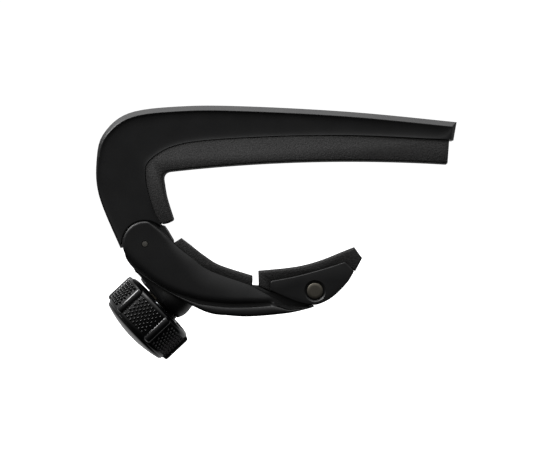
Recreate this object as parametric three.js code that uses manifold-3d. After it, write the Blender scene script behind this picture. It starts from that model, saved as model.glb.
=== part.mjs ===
// Guitar capo with a hinged clamp lever, a thumb screw and a swivelling neck shoe.
// Millimetres, +Z up. The string bar lies along +X, and the capo is symmetric about the plane Y = 0.
// The origin is the crown of the string pad's pressing face, and the guitar neck goes below it.
import * as THREE from "three";
import { mergeVertices } from "three/addons/utils/BufferGeometryUtils.js";
import Module from "manifold-3d";

const wasm = await Module();
wasm.setup();

// ---- Driving dimensions -------------------------------------------------------------------

const BODY_WIDTH = 14; // frame, lever cheeks and shoe plates, measured along Y
const STRING_PAD_WIDTH = 13;
const LEVER_PAD_WIDTH = 11;
const SHOE_PAD_WIDTH = 10;
const CHANNEL_WIDTH = 11; // gap between the lever's two cheeks
const TAIL_WIDTH = 10.4; // the frame's tail, which swings in that gap
const GLUE_LINE = 0.2; // between a rubber pad and what it is bonded to

const ARCH_RADIUS = 400; // fingerboard radius that the string pad is moulded to
const ARCH_STEP = 6; // length of one flat facet of that arch
const ARCH_STEPS_LEFT = 5; // facets left of the flat one in the middle
const STRING_PAD_TIP = 35.1; // X of the pad's free end

const HINGE = new THREE.Vector2(-40.95, -19.37); // lever hinge, as X and Z
const HINGE_PIN_RADIUS = 0.8;
const PIN_CLEARANCE = 0.05;
const SHOULDER_RADIUS = 5.95; // frame shoulder that the cheeks turn in
const CHEEK_RADIUS = 5.4; // round end of the cheeks
const HINGE_WASHER = { inner: 0.9, outer: 3.4, thick: 0.5, recess: 0.4 };

const SCREW_ANGLE = THREE.MathUtils.degToRad(41.5); // thumb screw above the X axis
const SCREW_ARM = 14.03; // from the hinge to the screw's axis
const SCREW_RADIUS = 2.45; // M5
const SCREW_CLEARANCE = 0.1;
const BOSS_RADIUS = 5.2;
const BOSS_OUTER = -7; // places along the screw, from the foot of the hinge's perpendicular
const BOSS_INNER = -0.6;
const INSERT_INNER = -2.6;
const INSERT = { radius: 3.5, bore: 3.6, flange: 4.8, flangeThick: 0.6 };
const FOOT_BORE_RADIUS = 3.8;
const SEAT_FACE = 3.9; // flat on the lever's web that takes the screw's thrust
const SEAT = { radius: 3.15, pocket: 3.3, proud: 0.3, sunk: 0.5 };
const FOOT_TIP = 3.25;
const KNOB_FACE = -8.35;
const KNOB_OUTER = -16.7;
const KNOB_RADIUS = 10.25; // to the roots of the knurl
const KNOB_RIBS = { count: 6, radius: 1.2, proud: 0.35, first: 52 };
const KNOB_RECESS = { radius: 8.7, depth: 1.9 }; // towards the frame
const CAP_SEAT = { radius: 8.9, depth: 1.3 };
const CAP = { crown: -18.8, brim: 9.6, spigot: 8.7, reach: 1.15, overhang: 0.15 };

const SHOE_PIN = new THREE.Vector2(1.25, -32.3); // shoe pivot, as X and Z
const SHOE_PIN_RADIUS = 1.5;
const SHOE_PIN_HEAD_RADIUS = 2.05;
const SHOE_PIN_HEAD = 0.8; // height of the head, sunk into the plate
const SHOE_CHANNEL = 10.4; // gap between the shoe's plates
const TONGUE_WIDTH = 9; // lever's end between those plates
const TONGUE_RADIUS = 2.95;
const SHOE_CLEAR_RADIUS = 3.3;
const SHOE_WASHER = { inner: 1.6, outer: 2.8, thick: 0.5, gap: 0.1 };

const SPRING = { coil: 1.9, wire: 0.3, halfLength: 1.15, pocketWidth: 3.6 };

const CURVE_SEGMENTS = 4;
const ROUND_SEGMENTS = 28;
const BEYOND = 40; // far enough to run a cut past every face

// ---- The screw's own directions -----------------------------------------------------------

const ALONG = new THREE.Vector2(Math.cos(SCREW_ANGLE), Math.sin(SCREW_ANGLE));
const TOWARDS_HINGE = new THREE.Vector2(-ALONG.y, ALONG.x);
const SCREW_FOOT = HINGE.clone().addScaledVector(TOWARDS_HINGE, -SCREW_ARM);

// The X and Z of a point given along the screw and across it, towards the hinge.
function onScrew(along, across) {
  return SCREW_FOOT.clone()
    .addScaledVector(ALONG, along)
    .addScaledVector(TOWARDS_HINGE, across);
}

function around(centre, radius, degrees) {
  const angle = THREE.MathUtils.degToRad(degrees);
  return new THREE.Vector2(
    centre.x + radius * Math.cos(angle),
    centre.y + radius * Math.sin(angle),
  );
}

function degreesAbout(centre, point) {
  return THREE.MathUtils.radToDeg(Math.atan2(point.y - centre.y, point.x - centre.x));
}

// ---- Outlines in the XZ plane ---------------------------------------------------------------

function points(pairs) {
  return pairs.map(([x, z]) => new THREE.Vector2(x, z));
}

function start(point) {
  const shape = new THREE.Shape();
  shape.moveTo(point.x, point.y);
  return shape;
}

function lines(shape, list) {
  list.forEach((point) => shape.lineTo(point.x, point.y));
  return shape;
}

function polygon(list) {
  return lines(start(list[0]), list.slice(1));
}

// An arc about a centre, from one bearing in degrees to another.
function arc(shape, centre, radius, from, to) {
  const [a, b] = [from, to].map(THREE.MathUtils.degToRad);
  shape.absarc(centre.x, centre.y, radius, a, b, to < from);
  return shape;
}

function circle(centre, radius) {
  return arc(new THREE.Shape(), centre, radius, 0, 360);
}

// ---- Solids ---------------------------------------------------------------------------------

// An outline in the XZ plane, given a width along Y about a middle plane.
function plate(shape, width, middle = 0) {
  const curveSegments = shape.curves.length === 1 ? ROUND_SEGMENTS / 2 : CURVE_SEGMENTS;
  const geometry = new THREE.ExtrudeGeometry(shape, {
    depth: width,
    steps: 1,
    curveSegments,
    bevelEnabled: false,
  });
  geometry.rotateX(Math.PI / 2);
  geometry.translate(0, middle + width / 2, 0);
  return geometry;
}

// A turned solid: pairs of radius and place along the axis, anticlockwise, turned about +X.
function turned(profile, segments = ROUND_SEGMENTS) {
  const geometry = new THREE.LatheGeometry(points(profile), segments);
  geometry.rotateZ(-Math.PI / 2);
  return geometry;
}

// A ring or disc about an axis along Y, such as a washer or a pin.
function onCrossAxis(centre, profile, segments = ROUND_SEGMENTS) {
  const geometry = new THREE.LatheGeometry(points(profile), segments);
  geometry.translate(centre.x, 0, centre.y);
  return geometry;
}

// Turns a solid made about +X into the screw's own line.
function toScrewLine(geometry) {
  geometry.rotateY(-SCREW_ANGLE);
  geometry.translate(SCREW_FOOT.x, 0, SCREW_FOOT.y);
  return geometry;
}

function rod(radius, from, to, segments = ROUND_SEGMENTS) {
  return turned([[0, from], [radius, from], [radius, to], [0, to]], segments);
}

function ring(inner, outer, from, to) {
  return [[inner, from], [outer, from], [outer, to], [inner, to], [inner, from]];
}

function toManifold(geometry) {
  const bare = geometry.clone();
  bare.deleteAttribute("normal");
  bare.deleteAttribute("uv");
  const merged = mergeVertices(bare, 1e-4);
  const mesh = new wasm.Mesh({
    numProp: 3,
    vertProperties: merged.attributes.position.array,
    triVerts: new Uint32Array(merged.index.array),
  });
  return new wasm.Manifold(mesh);
}

function toGeometry(manifold) {
  const mesh = manifold.getMesh();
  const geometry = new THREE.BufferGeometry();
  geometry.setAttribute("position", new THREE.BufferAttribute(mesh.vertProperties, 3));
  geometry.setIndex(new THREE.BufferAttribute(mesh.triVerts, 1));
  return geometry;
}

// Joins the first list of geometries and cuts the second list away.
function carve(joined, cut) {
  const whole = joined.map(toManifold).reduce((sum, next) => sum.add(next));
  return toGeometry(cut.map(toManifold).reduce((rest, next) => rest.subtract(next), whole));
}

// ---- Finishes -------------------------------------------------------------------------------

const FINISHES = {
  paint: { color: 0x1d1d1e, roughness: 0.42, metalness: 0.15 },
  rubber: { color: 0x2a2b2b, roughness: 0.92, metalness: 0 },
  gloss: { color: 0x111112, roughness: 0.18, metalness: 0 },
  steel: { color: 0x8b8984, roughness: 0.32, metalness: 1 },
  darkSteel: { color: 0x55524c, roughness: 0.38, metalness: 1 },
  brass: { color: 0x8a7440, roughness: 0.35, metalness: 1 },
  nylon: { color: 0xd8d4c8, roughness: 0.6, metalness: 0 },
};

function piece(name, finish, geometry) {
  const mesh = new THREE.Mesh(geometry, new THREE.MeshStandardMaterial(FINISHES[finish]));
  mesh.name = name;
  return mesh;
}

// ---- Upper frame: string bar, spine and tail ------------------------------------------------

// Where the frame meets the string pad, from the bar's tip to the foot of the spine.
const PAD_SEAT = points([
  [35.9, 4.55], [12, 6.35], [-11.4, 6.62], [-30.5, 5.55],
  [-38.9, 1.85], [-40.4, -2.5], [-39.05, -9.6], [-37.1, -14.1],
]);

function frameBody() {
  const back = points([
    [12.2, 12.07], [-13.5, 14.28], [-30.3, 14.75], [-43.7, 13.29],
    [-50.4, 8.55], [-52.35, 2.1], [-51.6, -6.9],
  ]);
  const shape = start(new THREE.Vector2(37.7, 8.85));
  shape.splineThru([...back, around(HINGE, SHOULDER_RADIUS, 187)]);
  arc(shape, HINGE, SHOULDER_RADIUS, 187, 47);
  lines(shape, [PAD_SEAT.at(-1)]);
  shape.splineThru(PAD_SEAT.slice(0, -1).reverse());
  lines(shape, points([[36.75, 4.4]]));
  return plate(shape, BODY_WIDTH);
}

// The tail turns inside the lever's channel and ends at the screw's boss.
function frameTail() {
  const neckRadius = 5.3;
  const innerRadius = 5.85;
  const innerStart = degreesAbout(HINGE, onScrew(0.5, 8.2));
  const shape = start(new THREE.Vector2(-47, -12));
  arc(shape, HINGE, neckRadius, 180, 215);
  const throat = [
    [BOSS_OUTER, 6.85], [BOSS_OUTER, 0], [INSERT_INNER, 0],
    [INSERT_INNER, 3.8], [0.5, 3.8],
  ];
  lines(shape, [new THREE.Vector2(-43.1, -26.2), ...throat.map(([s, t]) => onScrew(s, t))]);
  arc(shape, HINGE, innerRadius, innerStart, -6);
  lines(shape, points([
    [-33.91, -19.6], [-33.95, -18.6], [-35.2, -16.3], [-36.05, -14.95], [-37.3, -14.6], [-40, -12.5],
  ]));
  return plate(shape, TAIL_WIDTH);
}

function springPocket() {
  const slot = polygon([[-2.2, 11.8], [1.6, 5.4], [9, 5.4], [9, 12], [2.2, 16]]
    .map(([s, t]) => onScrew(s, t)));
  const fixedLeg = polygon([[-2.45, 13], [-2.45, 20.2], [-1.35, 20.2], [-1.35, 13]]
    .map(([s, t]) => onScrew(s, t)));
  const coilRoom = SPRING.coil + 3 * SPRING.wire;
  return [circle(HINGE, coilRoom), slot, fixedLeg]
    .map((shape) => plate(shape, SPRING.pocketWidth));
}

function washerRecess(side) {
  const floor = side * (TAIL_WIDTH / 2 - HINGE_WASHER.recess);
  const radius = HINGE_WASHER.outer + 0.2;
  return plate(circle(HINGE, radius), 2, floor + side);
}

function upperFrame() {
  const boss = toScrewLine(rod(BOSS_RADIUS, BOSS_OUTER, BOSS_INNER));
  const insertBore = toScrewLine(rod(INSERT.bore, BOSS_OUTER - 1, INSERT_INNER + 0.1));
  const footBore = toScrewLine(rod(FOOT_BORE_RADIUS, INSERT_INNER, BOSS_INNER + 1));
  const pinBore = plate(circle(HINGE, HINGE_PIN_RADIUS + PIN_CLEARANCE), BEYOND);
  const cuts = [insertBore, footBore, pinBore, washerRecess(-1), washerRecess(1), ...springPocket()];
  return piece("upper_frame", "paint", carve([frameBody(), frameTail(), boss], cuts));
}

// ---- Rubber pads ----------------------------------------------------------------------------

// The pressing face is an arch of flat facets, and the facet at the origin is level.
function archHeight(x) {
  const half = ARCH_STEP / 2;
  return (half * half - x * x) / (2 * ARCH_RADIUS);
}

function stringPad() {
  const seat = new THREE.SplineCurve(PAD_SEAT).getPoints(CURVE_SEGMENTS * 8);
  const back = seat.map((point, i) => {
    const next = seat[Math.min(i + 1, seat.length - 1)];
    const last = seat[Math.max(i - 1, 0)];
    const run = next.clone().sub(last).normalize();
    return new THREE.Vector2(point.x - run.y * GLUE_LINE, point.y + run.x * GLUE_LINE);
  });
  const shape = start(back[0]);
  lines(shape, back.slice(1));
  lines(shape, points([[-36.3, -14.55], [-34.3, -13.9], [-33.65, -13.3]]));
  shape.splineThru(points([[-35.2, -7.8], [-35.85, -3.2]]));
  const archStart = -34.1;
  shape.quadraticCurveTo(-35.8, -1.6, archStart, archHeight(archStart));
  for (let i = -ARCH_STEPS_LEFT; i < ARCH_STEPS_LEFT + 2; i += 1) {
    const x = (i - 0.5) * ARCH_STEP;
    shape.lineTo(x, archHeight(x));
  }
  shape.lineTo(STRING_PAD_TIP, archHeight(STRING_PAD_TIP));
  return piece("string_pad", "rubber", plate(shape, STRING_PAD_WIDTH));
}

function leverPad() {
  const shape = start(new THREE.Vector2(-33.2, -20.35));
  lines(shape, points([[-33.35, -19.3], [-31.9, -18.4]]));
  shape.splineThru(points([
    [-29.01, -20.5], [-26.02, -22.86], [-22.31, -25.14], [-14.28, -27.95],
  ]));
  lines(shape, points([[-14.34, -30.1]]));
  shape.splineThru(points([
    [-22.28, -27.5], [-26.15, -25.85], [-29.35, -23.6], [-33.2, -20.35],
  ]));
  return piece("lever_pad", "rubber", plate(shape, LEVER_PAD_WIDTH));
}

function shoePad() {
  const shape = start(new THREE.Vector2(-12.75, -27));
  shape.splineThru(points([
    [-5.84, -26.47], [-1.14, -25.78], [3.57, -24.51], [8.27, -22.76], [11.35, -21.7],
  ]));
  lines(shape, points([[13.03, -24.42], [11.5, -26.95], [9.1, -25.1]]));
  shape.splineThru(points([[3.5, -26.95], [-3.54, -28.6], [-10.1, -29.6]]));
  lines(shape, points([[-10.2, -32.05], [-12.85, -30.48]]));
  return piece("shoe_pad", "rubber", plate(shape, SHOE_PAD_WIDTH));
}

// ---- Clamp lever ----------------------------------------------------------------------------

function leverBody() {
  const shape = start(around(HINGE, CHEEK_RADIUS, 80));
  const jawEdge = points([
    [-36.9, -16.72], [-33.34, -20.71], [-29.52, -23.86],
    [-26.34, -26.1], [-22.38, -27.74], [-15.27, -30.29],
  ]);
  shape.splineThru(jawEdge);
  lines(shape, points([[-5.63, -35.93], [-0.6, -36.2]]));
  shape.splineThru(points([
    [-6.15, -37.5], [-14.84, -38.1], [-20.43, -37.75], [-25.98, -36.82],
    [-33.65, -32.78], [-39.5, -28.96], [-42.87, -26.19], [-45.3, -23.25],
  ]));
  arc(shape, HINGE, CHEEK_RADIUS, 204, 80);
  return plate(shape, BODY_WIDTH);
}

// The narrower tongue that carries the shoe.
function leverTongue() {
  const shape = start(new THREE.Vector2(-20, -34));
  lines(shape, points([[-14.5, -30.6], [-12.9, -30.9], [-10.1, -32.45], [-6, -31.7]]));
  arc(shape, SHOE_PIN, TONGUE_RADIUS, 110, -70);
  lines(shape, points([[0.9, -35.75], [-3, -36.55], [-20, -36.8]]));
  return plate(shape, TONGUE_WIDTH);
}

// Everything between the cheeks is open, except the web below the lever's pad.
function leverChannel() {
  const endRadius = 20.9; // clears the boss as the lever turns about the hinge
  const [endTop, endBottom] = [4.6, -10].map((along) =>
    onScrew(along, SCREW_ARM - Math.sqrt(endRadius ** 2 - along ** 2)));
  const web = [[9, 7.9], [2.8, 7.9], [3.5, 3.6], [SEAT_FACE, 3.6], [SEAT_FACE, -3.6], [4.6, -5]];
  const shape = polygon(web.map(([s, t]) => onScrew(s, t)));
  arc(shape, HINGE, endRadius, degreesAbout(HINGE, endTop), degreesAbout(HINGE, endBottom));
  lines(shape, [[-20, -4], [-20, 30], [9, 30]].map(([s, t]) => onScrew(s, t)));
  return plate(shape, CHANNEL_WIDTH);
}

function clampLever() {
  const seatPocket = toScrewLine(rod(SEAT.pocket, SEAT_FACE - 1, SEAT_FACE + SEAT.sunk + 0.1));
  const grooveWidth = 4 * SPRING.wire;
  const legGroove = polygon([[3.8, 9], [3.8, 6], [7, 6], [7, 9]].map(([s, t]) => onScrew(s, t)));
  const cuts = [
    leverChannel(),
    seatPocket,
    plate(legGroove, grooveWidth, SPRING.halfLength),
    plate(circle(HINGE, HINGE_PIN_RADIUS + PIN_CLEARANCE), BEYOND),
    plate(circle(SHOE_PIN, SHOE_PIN_RADIUS + PIN_CLEARANCE), BEYOND),
  ];
  return piece("clamp_lever", "paint", carve([leverBody(), leverTongue()], cuts));
}

// ---- Hinge hardware -------------------------------------------------------------------------

function hingePin() {
  const half = BODY_WIDTH / 2;
  const profile = [[0, -half], [HINGE_PIN_RADIUS, -half], [HINGE_PIN_RADIUS, half], [0, half]];
  return piece("hinge_pin", "steel", onCrossAxis(HINGE, profile, 24));
}

function hingeWasher(name, side) {
  const { inner, outer, thick, recess } = HINGE_WASHER;
  const free = (CHANNEL_WIDTH - TAIL_WIDTH) / 2 + recess - thick;
  const low = side * (TAIL_WIDTH / 2 - recess + free / 2 + thick / 2) - thick / 2;
  return piece(name, "nylon", onCrossAxis(HINGE, ring(inner, outer, low, low + thick), 24));
}

// The wire comes down from the spine, winds about the pin and lies on the lever's web.
class SpringCoil extends THREE.Curve {
  constructor(turnStart, turnEnd) {
    super();
    this.turnStart = turnStart;
    this.turnEnd = turnEnd;
  }

  getPoint(u, target = new THREE.Vector3()) {
    const angle = THREE.MathUtils.lerp(this.turnStart, this.turnEnd, u);
    const place = onScrew(SPRING.coil * Math.cos(angle), SCREW_ARM + SPRING.coil * Math.sin(angle));
    const side = THREE.MathUtils.lerp(-SPRING.halfLength, SPRING.halfLength, u);
    return target.set(place.x, side, place.y);
  }
}

function returnSpring() {
  const turns = 3;
  const turnStart = Math.PI;
  const bend = new THREE.Vector2(4.2, 8.6);
  const toBend = bend.clone().sub(new THREE.Vector2(0, SCREW_ARM));
  const leave = Math.atan2(toBend.y, toBend.x) - Math.acos(SPRING.coil / toBend.length());
  const coil = new SpringCoil(turnStart, leave + 2 * Math.PI * (turns + 1));
  const at = (along, across, side) => {
    const place = onScrew(along, across);
    return new THREE.Vector3(place.x, side, place.y);
  };
  const path = new THREE.CurvePath();
  path.add(new THREE.LineCurve3(at(-SPRING.coil, 19.6, -SPRING.halfLength), coil.getPoint(0)));
  path.add(coil);
  path.add(new THREE.LineCurve3(coil.getPoint(1), at(bend.x, bend.y, SPRING.halfLength)));
  path.add(new THREE.LineCurve3(at(bend.x, bend.y, SPRING.halfLength), at(4.5, 6.5, SPRING.halfLength)));
  const section = new THREE.Shape(
    Array.from({ length: 6 }, (_, i) => around(new THREE.Vector2(), SPRING.wire, i * 60)),
  );
  const wire = new THREE.ExtrudeGeometry(section, { steps: 76, extrudePath: path });
  return piece("return_spring", "steel", wire);
}

// ---- Thrust parts between the screw and the lever -------------------------------------------

function threadInsert() {
  const bore = SCREW_RADIUS + SCREW_CLEARANCE;
  const inner = BOSS_OUTER - 0.1;
  const outer = inner - INSERT.flangeThick;
  const profile = [
    [bore, outer], [INSERT.flange, outer], [INSERT.flange, inner], [INSERT.radius, inner],
    [INSERT.radius, INSERT_INNER], [bore, INSERT_INNER], [bore, outer],
  ];
  return piece("thread_insert", "brass", toScrewLine(turned(profile)));
}

function thrustSeat() {
  const disc = rod(SEAT.radius, SEAT_FACE - SEAT.proud, SEAT_FACE + SEAT.sunk);
  return piece("thrust_seat", "steel", toScrewLine(disc));
}

const FOOT = { radius: 3.1, back: 1, socket: 1.55, floor: 2.45, dome: 6, groove: 2.05 };
const FOOT_CLIP = { inner: 1.1, outer: 1.95, from: 1.55, to: 1.85 };

// A domed foot that swivels on the screw's neck, so that it rocks on the seat without turning.
function thrustFoot() {
  const domeEdge = FOOT_TIP - FOOT.dome + Math.sqrt(FOOT.dome ** 2 - FOOT.radius ** 2);
  const steps = 4;
  const dome = Array.from({ length: steps }, (_, i) => {
    const radius = FOOT.radius * (1 - (i + 1) / steps);
    return [radius, FOOT_TIP - FOOT.dome + Math.sqrt(FOOT.dome ** 2 - radius ** 2)];
  });
  const profile = [
    [0, FOOT.floor], [FOOT.socket, FOOT.floor],
    [FOOT.socket, FOOT_CLIP.to + 0.08], [FOOT.groove, FOOT_CLIP.to + 0.08],
    [FOOT.groove, FOOT_CLIP.from - 0.08], [FOOT.socket, FOOT_CLIP.from - 0.08],
    [FOOT.socket, FOOT.back], [FOOT.radius, FOOT.back], [FOOT.radius, domeEdge], ...dome,
  ];
  return piece("thrust_foot", "steel", toScrewLine(turned(profile, 24)));
}

// An open ring that snaps into the neck's groove and holds the foot on.
function footClip() {
  const opening = 40;
  const shape = arc(new THREE.Shape(), new THREE.Vector2(), FOOT_CLIP.outer, opening, 360 - opening);
  arc(shape, new THREE.Vector2(), FOOT_CLIP.inner, 360 - opening, opening);
  const geometry = new THREE.ExtrudeGeometry(shape, {
    depth: FOOT_CLIP.to - FOOT_CLIP.from,
    curveSegments: 10,
    bevelEnabled: false,
  });
  geometry.rotateY(Math.PI / 2);
  geometry.translate(FOOT_CLIP.from, 0, 0);
  return piece("foot_clip", "steel", toScrewLine(geometry));
}

// ---- Thumb screw ----------------------------------------------------------------------------

const HEAD = { flats: 8, outer: KNOB_OUTER + 1.9, inner: KNOB_OUTER + 5.4 };
const NECK = { from: 0.7, to: 2.3, radius: 1.4, groove: 0.98 };

function hexRod(flats, from, to) {
  return rod(flats / 2 / Math.cos(Math.PI / 6), from, to, 6);
}

function adjustingScrew() {
  const shank = turned([
    [0, HEAD.inner - 0.5], [SCREW_RADIUS, HEAD.inner - 0.5], [SCREW_RADIUS, NECK.from],
    [NECK.radius, NECK.from], [NECK.radius, FOOT_CLIP.from - 0.08],
    [NECK.groove, FOOT_CLIP.from - 0.08], [NECK.groove, FOOT_CLIP.to + 0.08],
    [NECK.radius, FOOT_CLIP.to + 0.08], [NECK.radius, NECK.to], [0, NECK.to],
  ], 24);
  const screw = carve([shank, hexRod(HEAD.flats, HEAD.outer, HEAD.inner)], []);
  return piece("adjusting_screw", "steel", toScrewLine(screw));
}

// The knob holds the screw's head in a hexagon pocket and is hollow towards the frame.
function knobBody() {
  const edge = 0.6;
  const core = turned([
    [0, KNOB_OUTER], [KNOB_RADIUS - edge, KNOB_OUTER], [KNOB_RADIUS, KNOB_OUTER + edge],
    [KNOB_RADIUS, KNOB_FACE - edge], [KNOB_RADIUS - edge, KNOB_FACE], [0, KNOB_FACE],
  ], 48);
  const ribs = Array.from({ length: KNOB_RIBS.count }, (_, i) => {
    const rib = rod(KNOB_RIBS.radius, KNOB_OUTER + 0.4, KNOB_FACE - 0.3, 12);
    rib.translate(0, 0, KNOB_RADIUS + KNOB_RIBS.proud - KNOB_RIBS.radius);
    rib.rotateX(THREE.MathUtils.degToRad(KNOB_RIBS.first + (i * 360) / KNOB_RIBS.count));
    return rib;
  });
  const cuts = [
    rod(KNOB_RECESS.radius, KNOB_FACE - KNOB_RECESS.depth, KNOB_FACE + 1, 40),
    hexRod(HEAD.flats + 0.2, KNOB_OUTER - 1, HEAD.inner + 0.1),
    rod(SCREW_RADIUS + SCREW_CLEARANCE, KNOB_OUTER, KNOB_FACE, 24),
    rod(CAP_SEAT.radius, KNOB_OUTER - 1, KNOB_OUTER + CAP_SEAT.depth, 40),
  ];
  return piece("knob_body", "gloss", toScrewLine(carve([core, ...ribs], cuts)));
}

function knobCap() {
  const { brim } = CAP;
  const under = KNOB_OUTER - CAP.overhang;
  const rise = under - CAP.crown;
  const dome = (brim * brim + rise * rise) / (2 * rise);
  const steps = 4;
  const crown = Array.from({ length: steps }, (_, i) => {
    const radius = (brim * (i + 1)) / steps;
    return [radius, CAP.crown + dome - Math.sqrt(dome ** 2 - radius ** 2)];
  });
  const end = KNOB_OUTER + CAP.reach;
  const profile = [
    [0, CAP.crown], ...crown, [CAP.spigot, under], [CAP.spigot, end], [0, end],
  ];
  return piece("knob_cap", "gloss", toScrewLine(turned(profile, 36)));
}

// ---- Swivel shoe ----------------------------------------------------------------------------

function shoeBody() {
  const shape = start(new THREE.Vector2(-9.85, -30.1));
  shape.quadraticCurveTo(-9.77, -29.49, -9.1, -29.4);
  shape.splineThru(points([[-3.54, -28.51], [3.5, -26.86], [8.6, -25.35]]));
  shape.quadraticCurveTo(9.1, -25.3, 9.4, -25.75);
  lines(shape, points([[11.06, -27.52]]));
  shape.splineThru(points([
    [9.24, -30.27], [5.64, -33.67], [2.32, -35.35], [-0.02, -35.5], [-3.71, -34.59], [-9.94, -31.84],
  ]));
  return plate(shape, BODY_WIDTH);
}

// The pad lies between the plates, on the shoe's web.
function shoePadSeat() {
  const shape = start(new THREE.Vector2(-11, -29.9));
  shape.splineThru(points([[-3.54, -28.82], [3.5, -27.17], [8.75, -25.5]]));
  lines(shape, points([[11.4, -27.85], [16, -27], [16, -15], [-11, -15]]));
  return plate(shape, SHOE_CHANNEL);
}

function shoeChannel() {
  const shape = start(new THREE.Vector2(-14, -31.7));
  lines(shape, points([[-3.5, -30.1]]));
  arc(shape, SHOE_PIN, SHOE_CLEAR_RADIUS, 100, -75);
  lines(shape, points([[2.1, -40], [-14, -40]]));
  return plate(shape, SHOE_CHANNEL);
}

function swivelShoe() {
  const half = BODY_WIDTH / 2;
  const headBore = SHOE_PIN_HEAD_RADIUS + 0.2;
  const headSinks = [-1, 1].map((side) =>
    plate(circle(SHOE_PIN, headBore), 2, side * (half - SHOE_PIN_HEAD - 0.1 + 1)));
  const pinBore = plate(circle(SHOE_PIN, SHOE_PIN_RADIUS + PIN_CLEARANCE), BEYOND);
  return piece("swivel_shoe", "paint",
    carve([shoeBody()], [shoePadSeat(), shoeChannel(), ...headSinks, pinBore]));
}

function shoePin() {
  const half = BODY_WIDTH / 2;
  const neck = half - SHOE_PIN_HEAD;
  const profile = [
    [0, -half], [SHOE_PIN_HEAD_RADIUS, -half], [SHOE_PIN_HEAD_RADIUS, -neck],
    [SHOE_PIN_RADIUS, -neck], [SHOE_PIN_RADIUS, neck], [SHOE_PIN_HEAD_RADIUS, neck],
    [SHOE_PIN_HEAD_RADIUS, half], [0, half],
  ];
  return piece("shoe_pin", "darkSteel", onCrossAxis(SHOE_PIN, profile, 24));
}

function shoeWasher(name, side) {
  const { inner, outer, thick, gap } = SHOE_WASHER;
  const low = side * (TONGUE_WIDTH / 2 + gap + thick / 2) - thick / 2;
  return piece(name, "nylon", onCrossAxis(SHOE_PIN, ring(inner, outer, low, low + thick), 24));
}

// ---- Assembly -------------------------------------------------------------------------------

function group(name, ...pieces) {
  const made = new THREE.Group();
  made.name = name;
  made.add(...pieces);
  return made;
}

const capo = group(
  "guitar_capo",
  group(
    "frame",
    upperFrame(),
    stringPad(),
    threadInsert(),
    hingePin(),
    hingeWasher("hinge_washer_near", -1),
    hingeWasher("hinge_washer_far", 1),
    returnSpring(),
  ),
  group("lever", clampLever(), leverPad(), thrustSeat()),
  group("foot", thrustFoot(), footClip()),
  group("knob", adjustingScrew(), knobBody(), knobCap()),
  group(
    "shoe",
    swivelShoe(),
    shoePad(),
    shoePin(),
    shoeWasher("shoe_washer_near", -1),
    shoeWasher("shoe_washer_far", 1),
  ),
);

export default capo;
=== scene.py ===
"""The finished look of a guitar capo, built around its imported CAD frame.

Lengths are millimetres in the part's own frame until they are placed as vertices. That frame has +X
along the string bar, +Z away from the strings, +Y across the capo, and its origin on the string pad's
pressing face.
"""

import logging
import math
from contextlib import contextmanager
from dataclasses import dataclass
from enum import Enum
from typing import Iterator, Sequence

import bpy
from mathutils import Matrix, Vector


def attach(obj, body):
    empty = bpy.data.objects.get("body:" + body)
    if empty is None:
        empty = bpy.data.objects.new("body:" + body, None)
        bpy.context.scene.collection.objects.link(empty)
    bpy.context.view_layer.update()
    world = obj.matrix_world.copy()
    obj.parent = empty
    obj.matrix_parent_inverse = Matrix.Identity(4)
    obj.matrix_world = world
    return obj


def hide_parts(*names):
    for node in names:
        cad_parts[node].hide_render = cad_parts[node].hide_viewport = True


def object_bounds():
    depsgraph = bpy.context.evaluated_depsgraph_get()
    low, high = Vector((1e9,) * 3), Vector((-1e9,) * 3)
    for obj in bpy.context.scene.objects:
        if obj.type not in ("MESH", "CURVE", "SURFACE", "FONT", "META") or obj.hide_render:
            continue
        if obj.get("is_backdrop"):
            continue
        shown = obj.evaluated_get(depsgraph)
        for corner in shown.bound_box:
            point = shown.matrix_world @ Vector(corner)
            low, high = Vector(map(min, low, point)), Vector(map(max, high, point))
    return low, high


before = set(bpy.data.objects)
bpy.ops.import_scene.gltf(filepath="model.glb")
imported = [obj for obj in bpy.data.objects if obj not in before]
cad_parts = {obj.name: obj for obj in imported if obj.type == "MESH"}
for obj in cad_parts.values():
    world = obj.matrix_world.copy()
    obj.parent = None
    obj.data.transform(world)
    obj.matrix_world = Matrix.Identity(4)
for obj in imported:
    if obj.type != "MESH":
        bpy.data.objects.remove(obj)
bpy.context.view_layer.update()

Point = tuple[float, float]
Place = tuple[float, float, float]
Profile = list[Point]
Piece = bpy.types.Object
Material = bpy.types.Material
Tree = bpy.types.NodeTree
Socket = bpy.types.NodeSocket

MM = 0.001
WELD = 2e-6
LOG = logging.getLogger("capo")

# ---- Where the capo's axes lie ---------------------------------------------------------------

HALF_WIDTH = 7.0
HINGE: Point = (-40.95, -19.37)
SCREW_ANGLE = math.radians(41.5)
SCREW_ARM = 14.03
SHOE_PIN: Point = (1.25, -32.3)
CLEAR = 0.05  # between a pin and its bore, at the radius


def on_screw(along: float, across: float) -> Point:
    """Gives a point by its place on the thumb screw's line.

    Args:
        along: millimetres along the screw, towards the lever, from the foot of the hinge's perpendicular.
        across: millimetres off the screw's line, towards the hinge.

    Returns:
        The point's X and Z.
    """
    run, rise = math.cos(SCREW_ANGLE), math.sin(SCREW_ANGLE)
    foot = (HINGE[0] + SCREW_ARM * rise, HINGE[1] - SCREW_ARM * run)
    return (foot[0] + along * run - across * rise, foot[1] + along * rise + across * run)


def around(centre: Point, radius: float, degrees: float) -> Point:
    """Gives the point at a bearing and distance from a centre."""
    angle = math.radians(degrees)
    return (centre[0] + radius * math.cos(angle), centre[1] + radius * math.sin(angle))


def arc(centre: Point, radius: float, start: float, stop: float, steps: int) -> Profile:
    """Gives points evenly along an arc."""
    return [around(centre, radius, start + (stop - start) * i / steps) for i in range(steps + 1)]


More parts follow.
